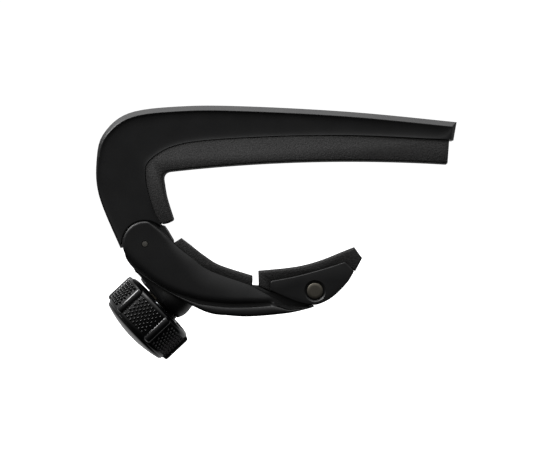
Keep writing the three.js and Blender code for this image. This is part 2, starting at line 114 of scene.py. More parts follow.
def spline(knots: Sequence[Point], steps: int = 8) -> Profile:
    """Draws a smooth line through knots, the same one as the CAD part's splines.

    Args:
        knots: points that the line goes through.
        steps: chords between two knots.

    Returns:
        The line's points, both ends among them.
    """
    last = len(knots) - 1
    line: Profile = []
    for i in range(last):
        before, here, there, after = (knots[min(max(i + k, 0), last)] for k in (-1, 0, 1, 2))
        for step in range(steps):
            t = step / steps
            point = []
            for n in (0, 1):
                leave = (there[n] - before[n]) / 2
                reach = (after[n] - here[n]) / 2
                gap = here[n] - there[n]
                cubic = (2 * gap + leave + reach) * t**3 - (3 * gap + 2 * leave + reach) * t**2
                point.append(cubic + leave * t + here[n])
            line.append((point[0], point[1]))
    return line + [knots[-1]]


def curve(start: Point, control: Point, stop: Point, steps: int = 5) -> Profile:
    """Draws a rounded corner.

    Args:
        start: where the rounding begins.
        control: the corner that it rounds off.
        stop: where it ends.
        steps: chords in it.

    Returns:
        Its points, without the first.
    """
    line = []
    for i in range(1, steps + 1):
        t = i / steps
        weights = ((1 - t) ** 2, 2 * t * (1 - t), t * t)
        line.append(tuple(sum(w * p[n] for w, p in zip(weights, (start, control, stop))) for n in (0, 1)))
    return line


def mix(a: Point, b: Point, share: float) -> Point:
    """Gives the point at a share of the way from a to b."""
    return (a[0] + (b[0] - a[0]) * share, a[1] + (b[1] - a[1]) * share)


def lesser(a: float, b: float, blend: float) -> float:
    """Gives the lower of two heights, with the corner between them rounded over blend millimetres."""
    low, gap = min(a, b), abs(a - b)
    return low - blend * math.log1p(math.exp(-gap / blend))


class Rail:
    """A line in the XZ plane that is read by its share of length."""

    def __init__(self, points: Sequence[Point]) -> None:
        """Measures the line.

        Args:
            points: its points in order.
        """
        self.points = list(points)
        self.reached = [0.0]
        for a, b in zip(self.points, self.points[1:]):
            self.reached.append(self.reached[-1] + math.dist(a, b))
        self.length = self.reached[-1]

    def at(self, share: float) -> Point:
        """Gives the point at a share of the length.

        Args:
            share: from 0 at the start to 1 at the end.

        Returns:
            The point's X and Z.
        """
        want = min(max(share, 0.0), 1.0) * self.length
        for i in range(len(self.points) - 1):
            if want <= self.reached[i + 1]:
                span = self.reached[i + 1] - self.reached[i]
                part = (want - self.reached[i]) / span if span else 0.0
                return mix(self.points[i], self.points[i + 1], part)
        return self.points[-1]

    def nearest(self, point: Point) -> tuple[float, float]:
        """Finds where the line passes closest to a point.

        Args:
            point: X and Z of the point.

        Returns:
            The distance to the line, and the share of length at which it is reached.
        """
        best = (math.inf, 0.0)
        for i, (a, b) in enumerate(zip(self.points, self.points[1:])):
            run = (b[0] - a[0], b[1] - a[1])
            square = run[0] ** 2 + run[1] ** 2
            if not square:
                continue
            t = ((point[0] - a[0]) * run[0] + (point[1] - a[1]) * run[1]) / square
            t = min(max(t, 0.0), 1.0)
            away = math.dist(point, mix(a, b, t))
            if away < best[0]:
                best = (away, (self.reached[i] + t * math.sqrt(square)) / self.length)
        return best

    def share(self, point: Point) -> float:
        """Gives the share of length nearest to a point."""
        return self.nearest(point)[1]

    def away(self, point: Point) -> float:
        """Gives a point's distance from the line."""
        return self.nearest(point)[0]


def blended(start: Rail, stop: Rail, sides: tuple[Point, Point], across: float, along: float) -> Point:
    """Gives a point of the patch that is stretched between two rows and two side points.

    Args:
        start: the row that the patch begins with.
        stop: the row that it ends with.
        sides: the two ends of the row through the point.
        across: share along that row.
        along: share of the way from start to stop.

    Returns:
        X and Z of the point.
    """
    between, chord = mix(start.at(across), stop.at(across), along), mix(*sides, across)
    corner = mix(*(mix(start.at(n), stop.at(n), along) for n in (0, 1)), across)
    return (between[0] + chord[0] - corner[0], between[1] + chord[1] - corner[1])


def read_off(table: Sequence[Point], x: float) -> float:
    """Reads a table of pairs with straight lines between them."""
    for (x0, y0), (x1, y1) in zip(table, table[1:]):
        if x <= x1:
            return y0 + (y1 - y0) * (x - x0) / (x1 - x0) if x1 > x0 else y1
    return table[-1][1]


def spread(width: float, near: Sequence[float], far: Sequence[float], middle: int) -> list[float]:
    """Lays columns across a strip, at fixed distances from its two edges and evenly between.

    Args:
        width: the strip's width.
        near: distances from the first edge, rising from 0.
        far: distances from the second edge, falling to 0.
        middle: number of columns between.

    Returns:
        Distances from the first edge. Where the strip is narrow they close up together.
    """
    squeeze = min(1.0, width / (near[-1] + far[0] + 0.3))
    first, last = near[-1] * squeeze, width - far[0] * squeeze
    between = [first + (last - first) * (i + 1) / (middle + 1) for i in range(middle)]
    return [n * squeeze for n in near] + between + [width - f * squeeze for f in far]


# ---- Modelling by operators -------------------------------------------------------------------


def select_only(*pieces: Piece) -> None:
    """Selects these objects and nothing else, with the first one active."""
    bpy.ops.object.select_all(action="DESELECT")
    for piece in pieces:
        piece.select_set(True)
    bpy.context.view_layer.objects.active = pieces[0]


@contextmanager
def editing(piece: Piece, action: str = "SELECT") -> Iterator[None]:
    """Holds a piece in edit mode for the operators inside.

    Args:
        piece: the mesh object.
        action: what is done to its selection first.

    Yields:
        Nothing.
    """
    select_only(piece)
    bpy.ops.object.mode_set(mode="EDIT")
    bpy.ops.mesh.select_mode(type="VERT")
    bpy.ops.mesh.select_all(action=action)
    yield
    bpy.ops.object.mode_set(mode="OBJECT")


def put(piece: Piece, places: Sequence[Place]) -> None:
    """Moves each vertex of a piece to its own place, in millimetres."""
    piece.data.vertices.foreach_set("co", [c * MM for place in places for c in place])
    piece.data.update()


def finish_modifier(piece: Piece, kind: str, **settings: object) -> None:
    """Adds a modifier, sets it and applies it.

    Args:
        piece: the mesh object.
        kind: the modifier's type.
        **settings: its settings by name.
    """
    select_only(piece)
    modifier = piece.modifiers.new(kind.lower(), kind)
    for name, value in settings.items():
        setattr(modifier, name, value)
    bpy.ops.object.modifier_apply(modifier=modifier.name)


def weld(piece: Piece, close: bool = False) -> None:
    """Merges doubles, closes open ends if asked, and turns all faces outwards.

    Args:
        piece: the mesh object.
        close: whether open loops are filled.
    """
    with editing(piece):
        bpy.ops.mesh.remove_doubles(threshold=WELD)
        bpy.ops.mesh.dissolve_degenerate(threshold=WELD / 4)
        bpy.ops.mesh.delete_loose(use_verts=True, use_edges=True, use_faces=False)
        bpy.ops.mesh.select_all(action="SELECT")
        if close:
            bpy.ops.mesh.fill_holes(sides=0)
        bpy.ops.mesh.normals_make_consistent(inside=False)


def laid(name: str, rows: Sequence[Sequence[Place]]) -> Piece:
    """Lays a grid over a surface.

    Args:
        name: the piece's name.
        rows: places of the vertices, row by row.

    Returns:
        The open sheet.
    """
    bpy.ops.object.select_all(action="DESELECT")
    faces = {"x_subdivisions": len(rows[0]) - 1, "y_subdivisions": len(rows) - 1}
    bpy.ops.mesh.primitive_grid_add(size=HALF_WIDTH * MM, **faces)
    piece = bpy.context.object
    piece.name = piece.data.name = name
    put(piece, [place for row in rows for place in row])
    return piece


def wrapped(name: str, sections: Sequence[Sequence[Place]]) -> Piece:
    """Wraps a grid round closed sections and caps its two ends.

    Args:
        name: the piece's name.
        sections: closed outlines with the same number of places each.

    Returns:
        The closed solid.
    """
    piece = laid(name, [[*section, section[0]] for section in sections])
    weld(piece, close=True)
    return piece


def prism(name: str, outline: Profile, width: float, middle: float = 0.0) -> Piece:
    """Extrudes an outline in the XZ plane across the capo.

    Args:
        name: the piece's name.
        outline: its points in order.
        width: length along Y.
        middle: Y of its middle.

    Returns:
        The closed solid.
    """
    bpy.ops.object.select_all(action="DESELECT")
    bpy.ops.mesh.primitive_circle_add(vertices=len(outline), radius=HALF_WIDTH * MM, fill_type="NGON")
    piece = bpy.context.object
    piece.name = piece.data.name = name
    put(piece, [(x, middle - width / 2, z) for x, z in outline])
    with editing(piece):
        bpy.ops.mesh.extrude_region_move(TRANSFORM_OT_translate={"value": (0, width * MM, 0)})
        bpy.ops.mesh.select_all(action="SELECT")
        bpy.ops.mesh.normals_make_consistent(inside=False)
    return piece


def spun(name: str, outline: Profile, steps: int = 64) -> Piece:
    """Turns a closed outline about +X, as on a lathe.

    Args:
        name: the piece's name.
        outline: pairs of radius and place along the axis.
        steps: facets round the axis.

    Returns:
        The closed solid, with its axis on the world's X axis.
    """
    bpy.ops.object.select_all(action="DESELECT")
    bpy.ops.mesh.primitive_circle_add(vertices=len(outline), radius=HALF_WIDTH * MM, fill_type="NOTHING")
    piece = bpy.context.object
    piece.name = piece.data.name = name
    put(piece, [(along, 0.0, radius) for radius, along in outline])
    with editing(piece):
        bpy.ops.mesh.spin(steps=steps, angle=math.tau, center=(0, 0, 0), axis=(1, 0, 0), use_auto_merge=True)
    weld(piece)
    return piece


def settle(piece: Piece, turn: Place, move: Place) -> Piece:
    """Turns and moves a piece, and leaves its object at the origin, unturned.

    Args:
        piece: the object.
        turn: rotation about X, Y and Z in radians.
        move: millimetres along X, Y and Z.

    Returns:
        The same object.
    """
    select_only(piece)
    piece.rotation_euler = turn
    piece.location = [c * MM for c in move]
    bpy.ops.object.transform_apply(location=True, rotation=True, scale=True)
    return piece


def to_screw_line(piece: Piece) -> Piece:
    """Puts a piece made on the X axis on the thumb screw's line."""
    foot = on_screw(0, 0)
    return settle(piece, (0, -SCREW_ANGLE, 0), (foot[0], 0, foot[1]))


def across(piece: Piece, centre: Point) -> Piece:
    """Puts a piece made on the X axis on a line along Y through a centre."""
    return settle(piece, (0, 0, math.pi / 2), (centre[0], 0, centre[1]))


def disc(centre: Point, radius: float, width: float, middle: float = 0.0) -> Piece:
    """Makes a cutter for a bore across the capo."""
    return prism("cutter", arc(centre, radius, 0, 352.5, 47), width, middle)


def screw_rod(radius: float, start: float, stop: float) -> Piece:
    """Makes a cutter for a bore along the screw's line."""
    return to_screw_line(spun("cutter", [(0, start), (radius, start), (radius, stop), (0, stop)], 48))


def combine(piece: Piece, operation: str, tools: Sequence[Piece]) -> None:
    """Joins tools to a piece or cuts them out of it, and removes them."""
    for tool in tools:
        finish_modifier(piece, "BOOLEAN", operation=operation, solver="EXACT", object=tool)
        bpy.data.objects.remove(tool)
        weld(piece)


def soften(piece: Piece, width: float, segments: int = 3, degrees: float = 35.0) -> None:
    """Rounds a piece's sharp edges."""
    limit = {"limit_method": "ANGLE", "angle_limit": math.radians(degrees)}
    finish_modifier(piece, "BEVEL", width=width * MM, segments=segments, **limit)


def shade(piece: Piece, degrees: float = 38.0) -> None:
    """Shades a piece smooth, except over sharp edges."""
    select_only(piece)
    bpy.ops.object.shade_smooth_by_angle(angle=math.radians(degrees))


def both_sides(piece: Piece) -> None:
    """Mirrors one side's face across the capo and bridges the two along their rims.

    Args:
        piece: the open face of one side.
    """
    weld(piece)
    finish_modifier(piece, "MIRROR", use_axis=(False, True, False), use_mirror_merge=False)
    with editing(piece, "DESELECT"):
        bpy.ops.mesh.select_mode(type="EDGE")
        bpy.ops.mesh.select_non_manifold()
        bpy.ops.mesh.bridge_edge_loops()
        bpy.ops.mesh.select_all(action="SELECT")
        bpy.ops.mesh.normals_make_consistent(inside=False)


# ---- Finishes -----------------------------------------------------------------------------------


def linear(code: str) -> tuple[float, float, float, float]:
    """Turns an sRGB hex colour into linear RGBA.

    Args:
        code: six hex digits.

    Returns:
        Four numbers, the last of them 1.
    """
    shares = [int(code[i : i + 2], 16) / 255 for i in (0, 2, 4)]
    r, g, b = (s / 12.92 if s <= 0.04045 else ((s + 0.055) / 1.055) ** 2.4 for s in shares)
    return (r, g, b, 1.0)


def per_metre(millimetres: float) -> float:
    """Gives the texture scale at which a pattern's features are that many millimetres apart."""
    return 1.0 / (millimetres * MM)


def add_node(
    tree: Tree, kind: str, settings: dict[str | int, object], links: dict[str | int, Socket] | None = None
) -> bpy.types.Node:
    """Adds a shader node with its settings and links.

    Args:
        tree: the material's node tree.
        kind: the node's type.
        settings: values by the name or number of an input, or by the name of a property of the node.
        links: output sockets by the name or number of the input that each feeds.

    Returns:
        The node.
    """
    node = tree.nodes.new(kind)
    for name, value in settings.items():
        if isinstance(name, int) or name in node.inputs:
            node.inputs[name].default_value = value
        else:
            setattr(node, name, value)
    for name, socket in (links or {}).items():
        tree.links.new(socket, node.inputs[name])
    return node


class Grain(Enum):
    """How a surface's fine relief was made."""

    SPRAYED = "sprayed"  # the orange peel of a sprayed or powder coat
    MOULDED = "moulded"  # the texture that a mould leaves
    TURNED = "turned"  # rings left by a lathe tool


@dataclass(frozen=True)
class Finish:
    """One real material with the way that its surface was made."""

    name: str
    colour: str
    # The second colour: a random mottle on most finishes, and on grain-shaded rubber the painted highlight of
    # the raised grain.
    mottle_and_grain_light: str
    roughness: float
    metallic: float = 0.0
    ior: float = 1.5
    grain: Grain = Grain.MOULDED
    grain_mm: float = 0.3
    relief_mm: float = 0.01
    cloud_mm: float = 6.0
    cloud: float = 0.5
    # When set, the colour follows the relief's height, painting the grain's hollows darker as shade and its
    # raised grain lighter as highlight.
    shaded_by_grain: bool = False
    spread: float = 0.06
    ring_centre: Point = (0.0, 0.0)

    def build(self) -> Material:
        """Makes the material.

        Returns:
            A node material that reads object coordinates only.
        """
        material = bpy.data.materials.new(self.name)
        material.use_nodes = True
        tree = material.node_tree
        tree.nodes.clear()
        place = add_node(tree, "ShaderNodeTexCoord", {}).outputs["Object"]
        clouds = add_node(
            tree, "ShaderNodeTexNoise", {"Scale": per_metre(self.cloud_mm), "Detail": 3.0}, {"Vector": place}
        ).outputs["Fac"]
        relief = self.relief(tree, place)
        tint = add_node(
            tree,
            "ShaderNodeMix",
            {"data_type": "RGBA", "A": linear(self.colour), "B": linear(self.mottle_and_grain_light)},
            {"Factor": self.tint(tree, clouds, relief)},
        )
        roughness = add_node(
            tree,
            "ShaderNodeMapRange",
            {"To Min": self.roughness - self.spread, "To Max": self.roughness + self.spread},
            {"Value": clouds},
        ).outputs["Result"]
        bump = add_node(
            tree, "ShaderNodeBump", {"Strength": 1.0, "Distance": self.relief_mm * MM}, {"Height": relief}
        ).outputs["Normal"]
        surface = add_node(
            tree,
            "ShaderNodeBsdfPrincipled",
            {"Metallic": self.metallic, "IOR": self.ior},
            {"Base Color": tint.outputs[2], "Roughness": roughness, "Normal": bump},
        )
        add_node(tree, "ShaderNodeOutputMaterial", {}, {"Surface": surface.outputs["BSDF"]})
        return material

    def relief(self, tree: Tree, place: Socket) -> Socket:
        """Makes the height of the fine relief.

        Args:
            tree: the material's node tree.
            place: object coordinates.

        Returns:
            A height from 0 to 1.
        """
        if self.grain is Grain.TURNED:
            centred = add_node(
                tree,
                "ShaderNodeMapping",
                {"Location": (-self.ring_centre[0] * MM, 0.0, -self.ring_centre[1] * MM)},
                {"Vector": place},
            ).outputs["Vector"]
            return add_node(
                tree,
                "ShaderNodeTexWave",
                {
                    "wave_type": "RINGS",
                    "rings_direction": "Y",
                    "Scale": per_metre(self.grain_mm) / math.tau,
                    "Distortion": 1.5,
                    "Detail": 2.0,
                },
                {"Vector": centred},
            ).outputs["Fac"]
        detail = 6.0 if self.grain is Grain.MOULDED else 1.0
        return add_node(
            tree,
            "ShaderNodeTexNoise",
            {"Scale": per_metre(self.grain_mm), "Detail": detail, "Roughness": 0.6},
            {"Vector": place},
        ).outputs["Fac"]

    def tint(self, tree: Tree, clouds: Socket, relief: Socket) -> Socket:
        """Makes the share of the second colour at each place. It follows the broad clouds, except on a finish
        shaded by its grain, where it follows the relief's height: the raised grain is painted lighter as
        highlight and the hollows darker as painted shade.

        Args:
            tree: the material's node tree.
            clouds: broad variation from 0 to 1.
            relief: fine relief from 0 to 1.

        Returns:
            A share from 0 to 1.
        """
        return add_node(
            tree,
            "ShaderNodeMapRange",
            {"From Min": 0.35, "From Max": 0.65, "To Min": 0.0, "To Max": self.cloud},
            {"Value": relief if self.shaded_by_grain else clouds},
        ).outputs["Result"]


# Sprayed satin paint on a die-cast body: a soft sheen with a barely visible orange peel.
SATIN_PAINT = Finish(
    "satin_black_paint_on_die_cast", "0e0e0f", "141415", 0.4,
    grain=Grain.SPRAYED, grain_mm=0.45, relief_mm=0.004,
)
# Moulded rubber: nearly no sheen, and a leathery grain that breaks it into light and dark flecks. The flecks
# follow the grain's height: the raised grain is a painted highlight and the hollows a painted shade.
PAD_RUBBER = Finish(
    "moulded_rubber_with_fine_grain", "0a0a0a", "272626", 0.74,
    ior=1.52, grain_mm=0.42, relief_mm=0.15, cloud=1.0, shaded_by_grain=True,
)
# Injection-moulded ABS with a polished mould: black gloss with sharp highlights.
GLOSS_ABS = Finish("polished_black_abs", "050506", "080809", 0.16, grain_mm=1.2, relief_mm=0.003, ior=1.54)
# A cut steel pin, whose end shows the lathe's rings.
CUT_STEEL = Finish(
    "turned_steel_pin", "8b8984", "75736e", 0.38, 1.0,
    grain=Grain.TURNED, grain_mm=0.2, relief_mm=0.002, ring_centre=HINGE,
)
# The shoe's rivet: the same turned rings as the hinge pin, in a darker, browner steel.
DARK_STEEL = Finish(
    "darker_turned_steel_rivet", "726e65", "5c5850", 0.45, 1.0,
    grain=Grain.TURNED, grain_mm=0.28, relief_mm=0.002, ring_centre=SHOE_PIN,
)
# Zinc-plated steel: pale, slightly blue, mottled by the plating's crystals.
ZINC_STEEL = Finish(
    "zinc_plated_steel", "a3a6a8", "8b8e91", 0.3, 1.0, grain_mm=0.5, relief_mm=0.002, cloud_mm=1.2
)
# Brass coloured nearly black, with the yellow just showing: a painted shade, so that the insert's flange
# matches the shaded gap between the knob and the boss.
SHADE_DARKENED_BRASS = Finish("brass_darkened_as_painted_shade", "12110f", "1c1914", 0.45, 1.0, grain_mm=0.4, relief_mm=0.002)
# Natural nylon: milky and slightly waxy.
NATURAL_NYLON = Finish("natural_nylon", "d8d4c8", "c9c4b5", 0.5, ior=1.53, grain_mm=0.5, relief_mm=0.004)


def dress(piece: Piece, material: Material, body: str, nodes: Sequence[str] = ()) -> None:
    """Gives a piece its material, the body that it moves with and the CAD nodes that it stands for.

    Args:
        piece: the finished mesh.
        material: its material.
        body: the CAD body's name.
        nodes: CAD nodes that it replaces.
    """
    piece.data.materials.clear()
    piece.data.materials.append(material)
    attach(piece, body)
    if nodes:
        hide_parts(*nodes)
    LOG.info("%s: %d faces, rides on %s", piece.name, len(piece.data.polygons), body)


# ---- String bar, spine and tail -----------------------------------------------------------------

# Where the frame meets the string pad, from the bar's tip to the foot of the spine.
PAD_SEAT: Profile = [
    (35.9, 4.55), (12.0, 6.35), (-11.4, 6.62), (-30.5, 5.55),
    (-38.9, 1.85), (-40.4, -2.5), (-39.05, -9.6), (-37.1, -14.1),
]


@dataclass
class FrameCasting:
    """The die-cast frame: a bar and spine with a sloping lip outside, and a tail with the screw's boss."""

    shoulder: float = 5.95
    lip: float = 1.27
    lip_spine: float = 0.42
    lip_fades: tuple[float, float] = (1.0, 11.5)
    spine_reach: float = 2.0
    lip_slope: float = 1.02
    tip_lip: float = 0.9
    cove: float = 0.38
    cove_run: float = 0.55
    cove_run_tip: float = 1.5
    seat_rise: float = 0.22
    seat_run: float = 0.6
    seat_run_tip: float = 1.1
    crease: float = 0.05
    edge: float = 0.05
    tail_width: float = 10.4

    def __post_init__(self) -> None:
        """Lays out the lines that the side face is drawn between."""
        foot = around(HINGE, self.shoulder + 0.25, 188)
        back = [
            (37.9, 8.95), (12.2, 12.17), (-13.5, 14.3), (-30.3, 14.85), (-43.9, 13.55),
            (-50.5, 8.6), (-52.45, 2.1), (-52.1, -7.0), foot,
        ]
        self.outer = Rail(spline(back, 10))
        self.inner = Rail([(36.95, 4.4), *spline(PAD_SEAT, 10), around(HINGE, self.shoulder, 47)])
        self.tip = Rail([self.outer.at(0), self.inner.at(0)])
        self.shoulder_line = Rail([foot, *arc(HINGE, self.shoulder, 178, 47, 38)])
        level = [
            (back[0], self.inner.at(0)), (back[1], (12.0, 6.35)), (back[2], (-11.4, 6.62)),
            (back[3], (-28.6, 5.8)), (back[4], (-36.3, 4.0)), (back[5], (-39.1, 1.4)),
            (back[6], (-40.35, -1.4)), (back[7], (-39.8, -6.4)), (foot, self.inner.at(1)),
        ]
        self.pairs = [(self.outer.share(a), self.inner.share(b)) for a, b in level]

    def height(self, point: Point) -> float:
        """Gives how far the side face stands from the middle plane.

        Args:
            point: X and Z on the side face.

        Returns:
            The distance in millimetres.
        """
        lip = self.lip
        if point[0] < HINGE[0] + self.spine_reach:
            low, high = self.lip_fades
            fade = min(max((point[1] - low) / (high - low), 0.0), 1.0)
            lip = self.lip_spine + (self.lip - self.lip_spine) * fade
        edge = min(self.outer.away(point), self.tip.away(point) * self.lip / self.tip_lip)
        slope = HALF_WIDTH - self.lip_slope * (lip - edge)
        out = min(max(point[0] / self.outer.points[0][0], 0.0), 1.0)
        beyond = (edge - lip) / (self.cove_run + (self.cove_run_tip - self.cove_run) * out)
        fall = 1 - math.exp(-beyond) if beyond > 0 else beyond
        face = lesser(slope, HALF_WIDTH - self.cove * fall, self.crease)
        inner = self.inner.away(point)
        seat_run = self.seat_run + (self.seat_run_tip - self.seat_run) * out
        face += self.seat_rise * (1 + out) * math.exp(-inner / seat_run)
        face = min(face, HALF_WIDTH)
        return face - max(0.0, self.edge - min(inner, self.shoulder_line.away(point)))

    def side(self) -> Piece:
        """Lays the near side face from the tip to the shoulder round the hinge.

        Returns:
            The open face.
        """
        length = self.outer.length
        tip_rows = (0, 0.12, 0.3, 0.5, 0.68, 0.8, 0.88, 0.95, 1.05, 1.2, 1.5, 2.0, 2.8, 4.0)
        shares = [d / length for d in tip_rows]
        split = self.pairs[-2][0]
        steps = 72
        shares += [shares[-1] + (split - shares[-1]) * (i + 1) / steps for i in range(steps)]
        near = (0, 0.12, 0.25, 0.38, 0.5, 0.65, 0.85, 1.05, 1.2, 1.27, 1.34, 1.46, 1.65, 1.95, 2.35)
        far = (1.3, 0.9, 0.6, 0.38, 0.22, 0.14, 0.06, 0)
        rows = []
        for share in shares:
            a, b = self.outer.at(share), self.inner.at(read_off(self.pairs, share))
            width = math.dist(a, b)
            rows.append([mix(a, b, d / width) for d in spread(width, near, far, 6)])
        last = Rail([self.outer.at(split), self.inner.at(self.pairs[-2][1])])
        shares = [d / last.length for d in spread(last.length, near, far, 6)]
        start_outer, start_inner = self.pairs[-2]
        ease = 16
        for i in range(1, ease + 1):
            w = 1 - (1 - i / ease) ** 1.6
            sides = (
                self.outer.at(start_outer + (1 - start_outer) * w),
                self.inner.at(start_inner + (1 - start_inner) * w),
            )
            rows.append([blended(last, self.shoulder_line, sides, v, w) for v in shares])
        return laid("frame_casting", [[(x, -self.height((x, z)), z) for x, z in row] for row in rows])

    def tail(self) -> Piece:
        """Makes the tail that swings between the lever's cheeks.

        Returns:
            The closed solid, with its edges rounded.
        """
        throat = [on_screw(s, t) for s, t in ((-7.2, 6.9), (-7.2, 0), (-2.6, 0), (-2.6, 3.8), (0.5, 3.8))]
        start = on_screw(0.5, 8.2)
        bearing = math.degrees(math.atan2(start[1] - HINGE[1], start[0] - HINGE[0]))
        outline = [
            (-47.0, -12.0), *arc(HINGE, 5.3, 180, 215, 10), (-43.45, -26.75), *throat,
            *arc(HINGE, 5.85, bearing, -6, 12), (-33.91, -19.6), (-33.95, -18.6), (-35.2, -16.3),
            (-36.05, -14.95), (-37.3, -14.6), (-40.0, -12.5),
        ]
        piece = prism("tail", outline, self.tail_width)
        soften(piece, 0.3, 2, 60)
        return piece

    def boss(self) -> Piece:
        """Makes the barrel-shaped boss that holds the screw's insert.

        Returns:
            The closed solid on the screw's line.
        """
        barrel = [
            (0, -7), (4.75, -7), (4.98, -6.92), (5.1, -6.7), (5.45, -5.9), (5.66, -5.1), (5.7, -4.5),
            (5.62, -3.6), (5.45, -2.6), (5.22, -0.8), (5.1, -0.6), (0, -0.6),
        ]
        return to_screw_line(spun("boss", barrel, 72))

    def cutters(self) -> list[Piece]:
        """Makes the solids that are cut out of the tail: bores, washer recesses and the spring's pocket.

        Returns:
            The cutters.
        """
        slot = [on_screw(s, t) for s, t in ((-2.2, 11.8), (1.6, 5.4), (9, 5.4), (9, 12), (2.2, 16))]
        leg = [on_screw(s, t) for s, t in ((-2.45, 13), (-2.45, 20.2), (-1.35, 20.2), (-1.35, 13))]
        depth, blank = 0.4, 2.0
        recess = self.tail_width / 2 - depth + blank / 2
        rim_clearance = to_screw_line(spun("cutter", [(8.5, -9), (11.5, -9), (11.5, -6.5), (8.5, -6.5)]))
        return [
            rim_clearance,
            screw_rod(3.6, -8, -2.5),
            screw_rod(3.8, -2.6, 0.4),
            disc(HINGE, 0.8 + CLEAR, 40),
            disc(HINGE, 3.6, blank, -recess),
            disc(HINGE, 3.6, blank, recess),
            disc(HINGE, 2.8, 3.6),
            prism("cutter", slot, 3.6),
            prism("cutter", leg, 3.6),
        ]

    def build(self, finish: Material) -> None:
        """Builds the frame and dresses it.

        Args:
            finish: its paint.
        """
        piece = self.side()
        both_sides(piece)
        combine(piece, "UNION", [self.tail(), self.boss()])
        combine(piece, "DIFFERENCE", self.cutters())
        shade(piece)
        dress(piece, finish, "frame", ["upper_frame"])


# ---- Rubber pads --------------------------------------------------------------------------------


@dataclass
class RubberPad:
    """A moulded rubber pad with rounded edges and a pressing face that is crowned across its width."""

    name: str
    outline: Profile
    press: tuple[int, int]
    seat: tuple[int, int]
    width: float
    body: str
    node: str
    rounding: float = 0.42
    crown: float = 0.22
    seat_share: float = 0.2

    def inward(self) -> list[Point]:
        """Gives the direction into the pad at each point of its outline.

        Returns:
            Vectors of about unit length, longer at sharp corners.
        """
        count = len(self.outline)
        area = sum(
            a[0] * b[1] - b[0] * a[1] for a, b in zip(self.outline, self.outline[1:] + self.outline[:1])
        )
        side = 1 if area > 0 else -1
        found = []
        for i, here in enumerate(self.outline):
            before, after = self.outline[i - 1], self.outline[(i + 1) % count]
            normals = []
            for a, b in ((before, here), (here, after)):
                run = math.dist(a, b) or 1.0
                normals.append((-(b[1] - a[1]) / run * side, (b[0] - a[0]) / run * side))
            total = (normals[0][0] + normals[1][0], normals[0][1] + normals[1][1])
            square = total[0] ** 2 + total[1] ** 2
            reach = min(2 / square, 1.6) if square else 1.0
            found.append((total[0] * reach, total[1] * reach))
        return found

    def build(self, finish: Material) -> None:
        """Builds the pad and dresses it.

        Args:
            finish: its rubber.
        """
        half, r = self.width / 2, self.rounding
        quarter = [
            (half - r + r * math.cos(a), r * (1 - math.sin(a))) for a in (0, 0.35, 0.75, 1.15, math.pi / 2)
        ]
        levels = quarter + [(half * k, 0.0) for k in (0.75, 0.5, 0.25, 0)]
        seat = range(self.seat[0], self.seat[1] + 1)
        levels = [(-y, inset) for y, inset in levels] + [(y, inset) for y, inset in reversed(levels[:-1])]
        first, last = self.press
        sections = []
        for y, inset in levels:
            ring = []
            for i, ((x, z), (dx, dz)) in enumerate(zip(self.outline, self.inward())):
                pressed = first <= i <= last
                move = inset * (self.seat_share if i in seat else 1.0)
                move += self.crown * (y / half) ** 2 if pressed else 0.0
                ring.append((x + dx * move, y, z + dz * move))
            sections.append(ring)
        piece = wrapped(self.name, sections)
        shade(piece, 50)
        dress(piece, finish, self.body, [self.node])


def string_pad() -> RubberPad:
    """Lays out the pad under the string bar and down the spine.

    Returns:
        The pad.
    """
    glue, radius, tip, heel = 0.06, 400.0, 35.3, -34.1
    seat = spline(PAD_SEAT)
    back = []
    for i, (x, z) in enumerate(seat):
        a, b = seat[max(i - 1, 0)], seat[min(i + 1, len(seat) - 1)]
        run = math.dist(a, b)
        back.append((x - (b[1] - a[1]) / run * glue, z + (b[0] - a[0]) / run * glue))
    spine = spline([(-33.65, -13.3), (-35.2, -7.8), (-35.85, -3.2)], 8)
    arch = [(x, -x * x / (2 * radius)) for x in (heel + (tip - 0.5 - heel) * i / 44 for i in range(45))]
    corner = curve(spine[-1], (-35.8, -1.6), arch[0], 6)
    end = [(tip - 0.15, -tip * tip / (2 * radius) + 0.02), (tip, -1.3)]
    heel_end = [(-36.3, -14.55), (-35.2, -14.3), (-34.3, -13.9), (-33.85, -13.6)]
    outline = back + heel_end + spine + corner[:-1] + arch + end
    start = len(back) + len(heel_end)
    press, against = (start, len(outline) - 2), (0, len(back) - 1)
    return RubberPad("string_pad_rubber", outline, press, against, 13.4, "frame", "string_pad")


def lever_pad() -> RubberPad:
    """Lays out the pad on the lever's web.

    Returns:
        The pad.
    """
    face = spline([(-31.95, -18.15), (-29.01, -20.5), (-26.02, -22.9), (-22.35, -25.24), (-14.28, -28.08)])
    seat = spline([(-14.5, -30.8), (-22.4, -28.0), (-26.4, -26.35), (-29.6, -24.1), (-33.4, -20.7)])
    outline = [(-33.55, -19.15), *face, (-14.3, -29.2), *seat]
    against = (len(face) + 2, len(outline) - 1)
    return RubberPad("lever_pad_rubber", outline, (1, len(face)), against, 11.0, "lever", "lever_pad")


def shoe_pad() -> RubberPad:
    """Lays out the pad on the swivelling shoe.

    Returns:
        The pad.
    """
    face = spline([
        (-12.85, -26.88), (-5.84, -26.42), (-1.14, -25.78), (3.57, -24.51), (8.27, -22.76), (11.5, -21.6),
    ])
    seat = spline([(8.6, -25.9), (3.5, -27.2), (-3.54, -28.85), (-9.7, -29.8)])
    outline = [*face, (13.35, -24.4), (11.5, -27.7), *seat, (-9.75, -32.15), (-12.85, -30.6)]
    against = (len(face) + 2, len(outline) - 2)
    return RubberPad("shoe_pad_rubber", outline, (0, len(face) - 1), against, 10.0, "shoe", "shoe_pad")


# ---- Clamp lever --------------------------------------------------------------------------------


